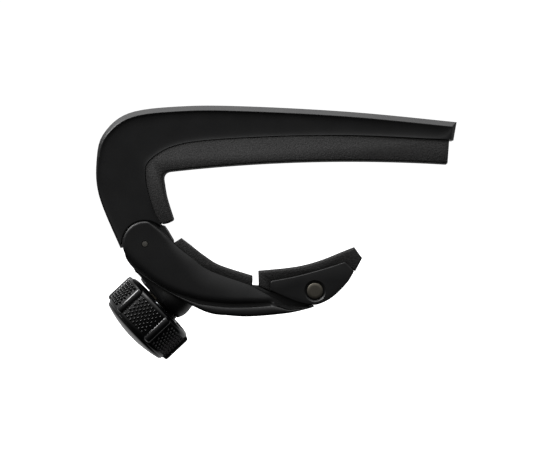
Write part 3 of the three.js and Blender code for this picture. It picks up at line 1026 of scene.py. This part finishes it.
@dataclass
class LeverCasting:
    """The die-cast lever: two smooth cheeks over a rounded rim, a web between them and the shoe's tongue."""

    end_radius: float = 5.6
    jaw_run: tuple[float, float] = (0.95, 5.0)
    jaw_drop: tuple[float, float] = (0.66, 0.95)
    jaw_begins: float = 0.13
    crown_from: float = 0.15
    crown_to: float = 0.5
    belly_run: float = 1.5
    belly_drop: float = 0.45
    groove: float = 0.7
    groove_share: float = 0.3
    groove_depth: float = 1.15
    rim_drop: float = 0.45
    rim_round: float = 0.4
    rim_rise: float = 0.28
    end_bevel: float = 0.3
    end_drop: float = 0.2
    end_slope: float = 0.8
    most_drop: float = 0.95
    rim_from: float = 1.6  # where the rim starts, in widths of the groove

    def __post_init__(self) -> None:
        """Lays out the lines of the lever's side."""
        start, stop = around(HINGE, self.end_radius, 80), around(HINGE, self.end_radius, 204)
        jaw = spline([
            start, (-36.45, -16.4), (-33.0, -20.2), (-29.2, -23.35), (-26.15, -25.85), (-22.38, -27.65),
            (-15.27, -30.29),
        ])
        self.meet = (-6.6, -35.36)
        self.jaw = Rail([*jaw, (-11.0, -32.79), self.meet])
        self.belly = Rail(spline([
            stop, (-42.5, -25.45), (-38.1, -29.15), (-34.25, -31.4), (-30.1, -32.95), (-25.95, -34.0),
            (-20.5, -34.74), (-14.6, -34.85), (-9.8, -34.75), (-7.8, -35.05), self.meet,
        ]))
        self.back = Rail(spline([
            stop, (-45.5, -23.4), (-43.05, -26.38), (-39.5, -28.96), (-33.65, -32.78), (-25.98, -36.9),
            (-20.43, -37.88), (-14.84, -38.27), (-6.15, -37.75), (-1.6, -36.95), (0.85, -36.3),
        ]))
        self.diagonal = Rail([self.meet, (-5.63, -35.93), (-3.2, -36.08), (-0.6, -36.2), (0.9, -36.06)])
        self.end = Rail(arc(HINGE, self.end_radius, 80, 204, 40))
        level = [
            (start, stop, stop),
            ((-35.3, -18.4), (-41.3, -26.6), (-42.0, -27.0)),
            ((-29.2, -23.35), (-34.25, -31.4), (-34.9, -32.05)),
            ((-22.38, -27.65), (-25.95, -34.0), (-26.6, -36.6)),
            ((-15.27, -30.29), (-16.6, -34.85), (-16.9, -38.05)),
            ((-11.0, -32.79), (-11.6, -34.85), (-11.6, -38.0)),
            (self.meet, self.meet, (-6.4, -37.55)),
        ]
        self.levels = [(self.jaw.share(a), self.belly.share(b), self.back.share(c)) for a, b, c in level]

    def cheek_height(self, point: Point) -> float:
        """Gives how far the cheek stands from the middle plane.

        Args:
            point: X and Z on the cheek.

        Returns:
            The distance in millimetres.
        """
        away, share = self.jaw.nearest(point)
        grown = min(max((share - self.crown_from) / (self.crown_to - self.crown_from), 0.0), 1.0)
        run, drop = (low + (high - low) * grown for low, high in (self.jaw_run, self.jaw_drop))
        begun = min(share / self.jaw_begins, 1.0)
        run = self.end_bevel + (run - self.end_bevel) * begun
        drop = self.end_drop + (drop - self.end_drop) * begun
        fall = drop * max(0.0, 1 - away / run) ** 2
        fall += self.belly_drop * max(0.0, 1 - self.belly.away(point) / self.belly_run) ** 2
        fall += self.end_slope * max(0.0, self.end_bevel - self.end.away(point))
        return HALF_WIDTH - min(fall, self.most_drop)

    def rim_places(self, top: Point, bottom: Point, fade: float) -> list[Place]:
        """Lays the groove under the cheek and the rounded rim below it.

        Args:
            top: the cheek's lower edge.
            bottom: the lever's back.
            fade: how fully the groove is cut, from 0 to 1.

        Returns:
            Places from the groove to the back.
        """
        width = math.dist(top, bottom)
        groove = min(self.groove, width * self.groove_share)
        floor = HALF_WIDTH - self.rim_drop - (self.groove_depth - self.rim_drop) * fade
        places = [(0.12 * groove, floor), (0.8 * groove, floor - 0.04), (1.35 * groove, floor)]
        crest = HALF_WIDTH - self.rim_drop
        first = self.rim_from * groove
        level = self.cheek_height(top)
        part = min(1.0, width / 0.5)
        for t in (0.0, 0.06, 0.16, 0.3, 0.45, 0.6, 0.74, 0.86, 0.95, 1.0):
            lift = self.rim_rise * (1 - max(0.0, 1 - t / 0.45) ** 2)
            sink = self.rim_round * t**7
            level_here = crest - self.rim_rise + lift - sink * min(1.0, width / 1.2)
            places.append((first + (width - first) * t, level_here))
        placed = []
        for d, h in places:
            placed.append((*(mix(top, bottom, d / width) if width else top), level + (h - level) * part))
        return placed

    def side(self) -> Piece:
        """Lays the near side from the round end to the tip.

        Returns:
            The open face.
        """
        near, far = (0, 0.1, 0.25, 0.45, 0.7, 1.0, 1.4, 1.9, 2.6), (1.5, 1.1, 0.75, 0.45, 0.2, 0.08, 0)
        middle = 5
        rows: list[list[Place]] = []
        first = self.levels[1]
        straight = Rail([self.jaw.at(first[0]), self.belly.at(first[1])])
        shares = [d / straight.length for d in spread(straight.length, near, far, middle)]
        ease = 20
        for i in range(ease):
            w = (i / ease) ** 1.4
            jaw, belly = self.jaw.at(first[0] * w), self.belly.at(first[1] * w)
            row = [blended(self.end, straight, (jaw, belly), v, w) for v in shares]
            cheek = [(x, self.cheek_height((x, z)), z) for x, z in row]
            rim = self.rim_places(belly, self.back.at(first[2] * w), min(1.0, w * 1.2))
            rows.append(cheek + [(x, h, z) for x, z, h in rim])
        steps = 64
        for i in range(steps + 1):
            u = 1 + (len(self.levels) - 2) * i / steps
            k = min(int(u), len(self.levels) - 2)
            jaw, belly, back = (
                rail.at(a + (b - a) * (u - k))
                for rail, a, b in zip((self.jaw, self.belly, self.back), self.levels[k], self.levels[k + 1])
            )
            width = math.dist(jaw, belly)
            row = [mix(jaw, belly, d / width) if width else jaw for d in spread(width, near, far, middle)]
            cheek = [(x, self.cheek_height((x, z)), z) for x, z in row]
            fade = min(1.0, width / 1.5)
            rows.append(cheek + [(x, h, z) for x, z, h in self.rim_places(belly, back, fade)])
        columns = len(near) + len(far) + middle
        steps = 14
        for i in range(1, steps + 1):
            w = i / steps
            top = self.diagonal.at(w)
            back = self.back.at(self.levels[-1][2] + (1 - self.levels[-1][2]) * w)
            rim = self.rim_places(top, back, 0.0)
            rows.append([(top[0], rim[0][2], top[1])] * columns + [(x, h, z) for x, z, h in rim])
        return laid("lever_casting", [[(x, -h, z) for x, h, z in row] for row in rows])

    def tongue(self) -> Piece:
        """Makes the narrower tongue that carries the shoe.

        Returns:
            The closed solid, with its edges rounded.
        """
        outline = [
            (-20.0, -34.0), (-14.5, -30.45), (-12.9, -30.62), (-9.9, -32.15), (-6.0, -31.6),
            *arc(SHOE_PIN, 2.95, 110, -70, 24), (0.9, -35.75), (-3.0, -36.55), (-20.0, -36.8),
        ]
        piece = prism("tongue", outline, 9.0)
        soften(piece, 0.25, 2, 50)
        return piece

    def cutters(self) -> list[Piece]:
        """Makes the solids that are cut out of the lever: the channel between the cheeks, pockets and bores.

        Returns:
            The cutters.
        """
        wall = 20.9
        bearings = []
        for along in (4.6, -10):
            x, z = on_screw(along, SCREW_ARM - math.sqrt(wall**2 - along**2))
            bearings.append(math.degrees(math.atan2(z - HINGE[1], x - HINGE[0])))
        web = [(9, 7.9), (2.8, 7.9), (3.5, 3.6), (3.9, 3.6), (3.9, -3.6), (4.6, -5)]
        channel = [
            *(on_screw(s, t) for s, t in web), *arc(HINGE, wall, *bearings, 20),
            *(on_screw(s, t) for s, t in ((-20, -4), (-20, 30), (9, 30))),
        ]
        leg = [on_screw(s, t) for s, t in ((3.8, 9), (3.8, 6), (7, 6), (7, 9))]
        return [
            prism("cutter", channel, 11.0),
            screw_rod(3.3, 2.9, 4.5),
            prism("cutter", leg, 1.2, 1.15),
            disc(HINGE, 0.8 + CLEAR, 40),
            disc(SHOE_PIN, 1.5 + CLEAR, 40),
        ]

    def build(self, finish: Material) -> None:
        """Builds the lever and dresses it.

        Args:
            finish: its paint.
        """
        piece = self.side()
        both_sides(piece)
        combine(piece, "UNION", [self.tongue()])
        combine(piece, "DIFFERENCE", self.cutters())
        shade(piece, 42)
        dress(piece, finish, "lever", ["clamp_lever"])


# ---- Swivel shoe --------------------------------------------------------------------------------


@dataclass
class ShoeCasting:
    """The shoe: two plates round the lever's tongue, joined by the web under the pad."""

    rounding: float = 0.4
    pin_head: float = 2.05
    sink: float = 0.9
    hollow: float = 10.4

    def plates(self) -> Piece:
        """Makes the shoe's outer form, before it is hollowed.

        Returns:
            The closed solid.
        """
        top = [(-9.85, -30.1), *curve((-9.85, -30.1), (-9.77, -29.49), (-9.1, -29.4))]
        top += spline([(-9.1, -29.4), (-3.54, -28.51), (3.5, -26.86), (8.6, -25.35)])[1:]
        top += curve((8.6, -25.35), (9.1, -25.3), (9.4, -25.75)) + [(10.3, -26.7)]
        base = spline([
            (11.2, -27.6), (9.4, -30.4), (5.76, -33.85), (2.38, -35.55), (-0.02, -35.7), (-3.75, -34.72),
            (-9.94, -31.84),
        ])
        piece = prism("shoe_casting", top + base, 2 * HALF_WIDTH)
        soften(piece, self.rounding, 4, 40)
        return piece

    def cutters(self) -> list[Piece]:
        """Makes the cutters of the shoe: the pad's seat, the tongue's channel and the pin's bore.

        Returns:
            The cutters.
        """
        seat = [
            (-11.0, -29.9), *spline([(-11.0, -29.9), (-3.54, -28.82), (3.5, -27.17), (8.75, -25.5)])[1:],
            (11.4, -27.85), (16.0, -27.0), (16.0, -15.0), (-11.0, -15.0),
        ]
        channel = [
            (-14.0, -31.7), (-3.5, -30.1), *arc(SHOE_PIN, 3.3, 100, -75, 24), (2.1, -40.0), (-14.0, -40.0),
        ]
        bore = self.pin_head + 0.2
        floor = HALF_WIDTH - self.sink
        ring = [(0, floor), (bore, floor), (bore, 6.6), (2.75, 7.02), (2.9, 7.3), (0, 7.3)]
        sinks = [across(spun("cutter", [(r, side * a) for r, a in ring], 64), SHOE_PIN) for side in (1, -1)]
        hollows = [prism("cutter", outline, self.hollow) for outline in (seat, channel)]
        return [*hollows, *sinks, disc(SHOE_PIN, 1.5 + CLEAR, 40)]

    def build(self, finish: Material) -> None:
        """Builds the shoe and dresses it.

        Args:
            finish: its paint.
        """
        piece = self.plates()
        combine(piece, "DIFFERENCE", self.cutters())
        shade(piece)
        dress(piece, finish, "shoe", ["swivel_shoe"])


# ---- Pins ---------------------------------------------------------------------------------------


@dataclass
class Pins:
    """The hinge pin and the shoe's rivet, with turned ends."""

    hinge_radius: float = 0.8
    shank: float = 1.5
    head: float = 2.05
    head_height: float = 0.8

    def hinge(self, finish: Material) -> None:
        """Makes the hinge pin.

        Args:
            finish: its steel.
        """
        r, end, chamfer = self.hinge_radius, HALF_WIDTH - 0.02, 0.12
        half = [(0, end), (r * 0.6, end - 0.01), (r - chamfer, end - 0.03), (r, end - 0.03 - chamfer)]
        outline = half + [(radius, -along) for radius, along in reversed(half)]
        piece = across(spun("hinge_pin_turned", outline, 40), HINGE)
        shade(piece)
        dress(piece, finish, "frame", ["hinge_pin"])

    def rivet(self, finish: Material) -> None:
        """Makes the shoe's rivet, with a flat head at each side.

        Args:
            finish: its steel.
        """
        end, neck, chamfer = HALF_WIDTH - 0.05, HALF_WIDTH - self.head_height, 0.18
        half = [
            (0, end), (self.head * 0.6, end - 0.01), (self.head - chamfer, end - 0.03),
            (self.head - 0.05, end - 0.03 - chamfer * 0.6), (self.head, end - 0.06 - chamfer),
            (self.head, neck), (self.shank, neck),
        ]
        outline = half + [(radius, -along) for radius, along in reversed(half)]
        piece = across(spun("shoe_rivet_turned", outline, 56), SHOE_PIN)
        shade(piece)
        dress(piece, finish, "shoe", ["shoe_pin"])


# ---- Thumb screw --------------------------------------------------------------------------------


@dataclass
class Knob:
    """The thumb screw's knob: a hollow moulding with ribs, a staggered knurl between them and a domed cap."""

    outer: float = -16.7
    face: float = -8.35
    radius: float = 10.02
    ribs: int = 6
    first_rib: float = 52.0
    rib_radius: float = 1.2
    reach: float = 11.0
    teeth: int = 7
    rows: int = 8
    first_row: float = -15.38
    last_row: float = -9.57
    pitch: float = 5.75  # degrees between two teeth of a row
    tooth: Place = (0.9, 0.76, 0.55)  # along the knob, round it and out of it
    tooth_taper: Point = (0.6, 0.42)
    tooth_edge: float = 0.11
    tooth_sunk: float = 0.2
    crown: float = -18.74

    def shell(self) -> Piece:
        """Makes the knob's drum, recessed towards the frame and hollowed for the screw's head.

        Returns:
            The closed solid on the X axis.
        """
        r, outer, face = self.radius, self.outer, self.face
        outline = [
            (2.55, outer + 5.5), (8.7, outer + 5.5), (8.7, outer + 1.3), (8.9, outer + 1.25),
            (8.9, outer + 0.1), (9.15, outer), (r - 0.45, outer), (r - 0.22, outer + 0.2),
            (r - 0.06, outer + 0.5), (r, outer + 0.85), (r, face - 1.0), (r + 0.2, face - 0.85),
            (r + 0.24, face - 0.5), (r + 0.05, face - 0.1), (r - 0.35, face + 0.2), (r - 0.8, face + 0.42),
            (8.82, face + 0.5), (8.7, face + 0.4), (8.7, face - 1.9), (2.55, face - 1.9),
        ]
        return spun("knob_moulding", outline, 144)

    def rib(self) -> Piece:
        """Makes one rib, half sunk in the drum.

        Returns:
            The closed solid on the X axis.
        """
        r, start, stop = self.rib_radius, self.outer + 0.35, self.face - 0.05
        outline = [
            (0, start), (r * 0.6, start + 0.08), (r * 0.9, start + 0.35), (r, start + 0.8),
            (r, stop - 0.8), (r * 0.9, stop - 0.32), (r * 0.6, stop - 0.07), (0, stop),
        ]
        return spun("rib", outline, 20)

    def tooth_block(self) -> Piece:
        """Makes one tooth of the knurl: a small block that narrows towards its top.

        Returns:
            The closed solid, standing on the drum at its uppermost line.
        """
        length, width, height = self.tooth
        bpy.ops.object.select_all(action="DESELECT")
        bpy.ops.mesh.primitive_cube_add(size=MM, scale=(length, width, height + self.tooth_sunk))
        piece = bpy.context.object
        piece.name = piece.data.name = "tooth"
        bpy.ops.object.transform_apply(location=False, rotation=False, scale=True)
        with editing(piece, "DESELECT"):
            bpy.ops.mesh.select_mode(type="FACE")
        for face in piece.data.polygons:
            face.select = face.normal.z > 0.9
        bpy.ops.object.mode_set(mode="EDIT")
        bpy.ops.transform.resize(value=(*self.tooth_taper, 1.0), center_override=(0, 0, 0))
        bpy.ops.object.mode_set(mode="OBJECT")
        soften(piece, self.tooth_edge, 1, 30)
        return settle(piece, (0, 0, 0), (self.first_row, 0, self.radius + (height - self.tooth_sunk) / 2))

    def copies(self, piece: Piece, count: int, degrees: float, move: float) -> None:
        """Repeats all of a mesh by turning it about the X axis and moving it along.

        Args:
            piece: the mesh object.
            count: how many copies are added.
            degrees: turn between two of them.
            move: millimetres between two of them.
        """
        turn = {"value": -math.radians(degrees), "orient_axis": "X", "center_override": (0, 0, 0)}
        with editing(piece):
            for _ in range(count):
                bpy.ops.mesh.duplicate()
                bpy.ops.transform.translate(value=(move * MM, 0, 0))
                bpy.ops.transform.rotate(**turn)

    def knurl(self) -> Piece:
        """Makes the staggered knurl of one field between two ribs, and repeats it round the knob.

        Returns:
            The teeth as one mesh on the X axis.
        """
        piece = self.tooth_block()
        field = 360 / self.ribs
        step = (self.last_row - self.first_row) / (self.rows - 1)
        start = (field - self.pitch * (self.teeth - 0.5)) / 2
        settle(piece, (math.radians(start), 0, 0), (0, 0, 0))
        self.copies(piece, self.teeth - 1, self.pitch, 0)
        other = piece.copy()
        other.data = piece.data.copy()
        bpy.context.scene.collection.objects.link(other)
        settle(other, (math.radians(self.pitch / 2), 0, 0), (step, 0, 0))
        select_only(piece, other)
        bpy.ops.object.join()
        self.copies(piece, self.rows // 2 - 1, 0, 2 * step)
        settle(piece, (math.radians(self.first_rib), 0, 0), (0, 0, 0))
        self.copies(piece, self.ribs - 1, field, 0)
        return piece

    def body(self, finish: Material) -> None:
        """Builds the knob's moulding with its ribs and knurl.

        Args:
            finish: its plastic.
        """
        piece = self.shell()
        rib = self.rib()
        settle(rib, (0, 0, 0), (0, 0, self.reach - self.rib_radius))
        settle(rib, (math.radians(self.first_rib), 0, 0), (0, 0, 0))
        self.copies(rib, self.ribs - 1, 360 / self.ribs, 0)
        combine(piece, "UNION", [rib])
        teeth = self.knurl()
        select_only(piece, teeth)
        bpy.ops.object.join()
        to_screw_line(piece)
        shade(piece)
        dress(piece, finish, "knob", ["knob_body"])

    def cap(self, finish: Material) -> None:
        """Makes the domed cap that closes the knob.

        Args:
            finish: its plastic.
        """
        brim = self.radius - 0.85
        base = self.outer - 0.06
        rise = base - self.crown - 0.6
        dome = (brim**2 + rise**2) / (2 * rise)
        radii = [brim * k / 12 for k in range(13)]
        arch = [(radius, self.crown + dome - math.sqrt(dome**2 - radius**2)) for radius in radii]
        outline = [
            *arch, (brim + 0.22, base - 0.42), (brim + 0.36, base - 0.2), (brim + 0.42, base), (8.6, base),
            (8.6, self.outer + 1.1), (0, self.outer + 1.1),
        ]
        piece = to_screw_line(spun("knob_cap_moulding", outline, 96))
        shade(piece)
        dress(piece, finish, "knob", ["knob_cap"])


@dataclass
class ThreadedScrew:
    """The M5 screw inside the knob, with a real helix on its shank."""

    radius: float = 2.45
    pitch: float = 0.8
    depth: float = 0.42
    head_inner: float = -11.3
    head_outer: float = -14.8
    neck: float = 0.7

    def build(self, finish: Material) -> None:
        """Builds the screw and dresses it.

        Args:
            finish: its plating.
        """
        root = self.radius - self.depth
        end = 2.3
        core = [
            (0, self.head_inner - 1), (root + 0.02, self.head_inner - 1), (root + 0.02, self.neck),
            (1.4, self.neck), (1.4, 1.47), (0.98, 1.47), (0.98, 1.93), (1.4, 1.93), (1.4, end - 0.15),
            (1.25, end), (0, end),
        ]
        piece = spun("thumb_screw_threaded", core, 48)
        thread = self.thread(root)
        hexagon = [around((0, 0), 4.0 / math.cos(math.pi / 6), 60 * i) for i in range(6)]
        head = prism("head", hexagon, self.head_inner - self.head_outer)
        settle(head, (0, 0, math.pi / 2), ((self.head_inner + self.head_outer) / 2, 0, 0))
        soften(head, 0.2, 2, 40)
        select_only(piece, thread, head)
        bpy.ops.object.join()
        to_screw_line(piece)
        shade(piece)
        dress(piece, finish, "knob", ["adjusting_screw"])

    def thread(self, root: float) -> Piece:
        """Winds the thread's ridge round the shank.

        Args:
            root: radius at the thread's root.

        Returns:
            The closed ridge on the X axis.
        """
        turns = (self.neck - self.head_inner) / self.pitch - 1
        per_turn = 28
        count = int(turns * per_turn)
        half, flat = self.pitch * 0.46, self.pitch * 0.08
        sections = []
        for i in range(count + 1):
            angle = math.tau * i / per_turn
            start = self.head_inner + self.pitch * (0.5 + i / per_turn)
            swell = min(1.0, i / per_turn * 2, (count - i) / per_turn * 2) * 0.98 + 0.02
            crest = root + (self.radius - root) * swell
            ring = [(root - 0.12, -half), (crest, -flat), (crest, flat), (root - 0.12, half)]
            sections.append([(start + a, -r * math.sin(angle), r * math.cos(angle)) for r, a in ring])
        return wrapped("thread", sections)


# ---- Small parts that keep their CAD shape --------------------------------------------------------


class KeptPart(Enum):
    """CAD nodes that are shown as they are, each with its finish."""

    THREAD_INSERT = ("thread_insert", "brass")
    WASHER_NEAR = ("hinge_washer_near", "nylon")
    WASHER_FAR = ("hinge_washer_far", "nylon")
    SPRING = ("return_spring", "zinc")
    SEAT = ("thrust_seat", "zinc")
    FOOT = ("thrust_foot", "zinc")
    CLIP = ("foot_clip", "zinc")
    SHOE_WASHER_NEAR = ("shoe_washer_near", "nylon")
    SHOE_WASHER_FAR = ("shoe_washer_far", "nylon")


def dress_kept(finishes: dict[str, Material]) -> None:
    """Gives each kept CAD node its material.

    Args:
        finishes: materials by the names that KeptPart uses.
    """
    for part in KeptPart:
        name, finish = part.value
        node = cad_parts[name]
        node.data.materials.clear()
        node.data.materials.append(finishes[finish])
        LOG.info("%s keeps its CAD shape", name)


# ---- Studio -------------------------------------------------------------------------------------


@dataclass
class Studio:
    """A white room: a pale floor, a broad lamp overhead and a small one above the left."""

    camera_distance: float = 900.0
    aim: Point = (-8.29, -15.53)
    roll: float = 1.593
    lens: float = 235.6
    lit: Place = (-0.01, 0.0, -0.02)  # what the lamps point at, in metres
    floor_size: float = 12.0
    floor_light: float = 0.98
    floor_gap: float = 3.0  # room for the knob when it is backed off
    wall_light: float = 0.135  # how bright the room is at the camera's height
    wall_climb: float = 14.0  # how many times brighter its ceiling is than that
    back_light: float = 0.45  # how bright it is behind the capo
    seen_light: float = 1.05  # how bright it looks to the camera itself

    def camera(self) -> None:
        """Sets the camera in front of the capo, looking along +Y."""
        data = bpy.data.cameras.new("camera")
        data.sensor_width = 36.0
        data.lens = self.lens
        data.clip_start = 0.01
        data.clip_end = 50.0
        camera = bpy.data.objects.new("camera", data)
        camera.location = (self.aim[0] * MM, -(HALF_WIDTH + self.camera_distance) * MM, self.aim[1] * MM)
        camera.rotation_euler = (math.pi / 2, math.radians(self.roll), 0)
        bpy.context.scene.collection.objects.link(camera)
        bpy.context.scene.camera = camera

    def floor(self) -> None:
        """Lays the floor under the capo's lowest point."""
        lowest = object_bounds()[0][2] - self.floor_gap * MM
        bpy.ops.object.select_all(action="DESELECT")
        bpy.ops.mesh.primitive_plane_add(size=self.floor_size, location=(0, 0, lowest))
        floor = bpy.context.object
        floor.name = "floor"
        material = bpy.data.materials.new("white_seamless_paper")
        material.use_nodes = True
        tree = material.node_tree
        tree.nodes.clear()
        paper = add_node(
            tree,
            "ShaderNodeBsdfPrincipled",
            {"Base Color": linear("f6f6f6"), "Roughness": 0.9, "Emission Color": linear("ffffff"),
             "Emission Strength": self.floor_light},
        )
        add_node(tree, "ShaderNodeOutputMaterial", {}, {"Surface": paper.outputs["BSDF"]})
        floor.data.materials.append(material)
        floor.visible_glossy = False
        floor.visible_diffuse = False
        floor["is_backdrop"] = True

    def lamp(self, name: str, place: Place, size: float, radiance: float) -> None:
        """Hangs a square lamp that faces the capo.

        Args:
            name: the lamp's name.
            place: where it hangs, in metres.
            size: the length of its side in metres.
            radiance: how bright its face is.
        """
        data = bpy.data.lights.new(name, "AREA")
        data.shape = "SQUARE"
        data.size = size
        data.energy = radiance * math.pi * size * size
        lamp = bpy.data.objects.new(name, data)
        lamp.location = place
        lamp.rotation_euler = (Vector(self.lit) - Vector(place)).to_track_quat("-Z", "Y").to_euler()
        bpy.context.scene.collection.objects.link(lamp)

    def world(self) -> None:
        """Makes the room white to the eye and dim in reflections."""
        world = bpy.data.worlds.new("room")
        bpy.context.scene.world = world
        world.use_nodes = True
        tree = world.node_tree
        tree.nodes.clear()
        seen = add_node(tree, "ShaderNodeLightPath", {}).outputs["Is Camera Ray"]
        way = add_node(tree, "ShaderNodeTexCoord", {}).outputs["Generated"]
        split = add_node(tree, "ShaderNodeSeparateXYZ", {}, {"Vector": way})
        climb = {"operation": "POWER", 0: self.wall_climb}
        light = {"operation": "MULTIPLY", 0: self.wall_light}
        rise = add_node(tree, "ShaderNodeMath", climb, {1: split.outputs["Z"]})
        wall = add_node(tree, "ShaderNodeMath", light, {1: rise.outputs[0]})
        behind = add_node(
            tree,
            "ShaderNodeMapRange",
            {"From Min": 0.15, "From Max": 0.5, "interpolation_type": "SMOOTHSTEP"},
            {"Value": split.outputs["Y"]},
        )
        level = add_node(
            tree,
            "ShaderNodeMix",
            {"data_type": "FLOAT", 3: self.back_light},
            {"Factor": behind.outputs["Result"], 2: wall.outputs[0]},
        )
        white = linear("ffffff")
        dim = add_node(tree, "ShaderNodeBackground", {"Color": white}, {"Strength": level.outputs[0]})
        bright = add_node(tree, "ShaderNodeBackground", {"Color": white, "Strength": self.seen_light})
        both = add_node(tree, "ShaderNodeMixShader", {}, {0: seen, 1: dim.outputs[0], 2: bright.outputs[0]})
        add_node(tree, "ShaderNodeOutputWorld", {}, {"Surface": both.outputs[0]})

    def build(self) -> None:
        """Sets up the whole studio."""
        self.floor()
        self.camera()
        self.world()
        self.lamp("overhead", (-0.09, -0.06, 0.5), 0.5, 1.75)
        self.lamp("key", (-0.42, -0.16, 0.42), 0.2, 18.0)
        bpy.context.scene.view_settings.view_transform = "Standard"


def main() -> None:
    """Builds the capo and its studio, piece by piece."""
    logging.basicConfig(level=logging.INFO, format="%(name)s: %(message)s")
    paint, rubber, plastic = SATIN_PAINT.build(), PAD_RUBBER.build(), GLOSS_ABS.build()
    zinc = ZINC_STEEL.build()
    FrameCasting().build(paint)
    for pad in (string_pad(), lever_pad(), shoe_pad()):
        pad.build(rubber)
    LeverCasting().build(paint)
    ShoeCasting().build(paint)
    pins = Pins()
    pins.hinge(CUT_STEEL.build())
    pins.rivet(DARK_STEEL.build())
    knob = Knob()
    knob.body(plastic)
    knob.cap(plastic)
    ThreadedScrew().build(zinc)
    dress_kept({"brass": SHADE_DARKENED_BRASS.build(), "nylon": NATURAL_NYLON.build(), "zinc": zinc})
    Studio().build()


if __name__ == "__main__":
    main()
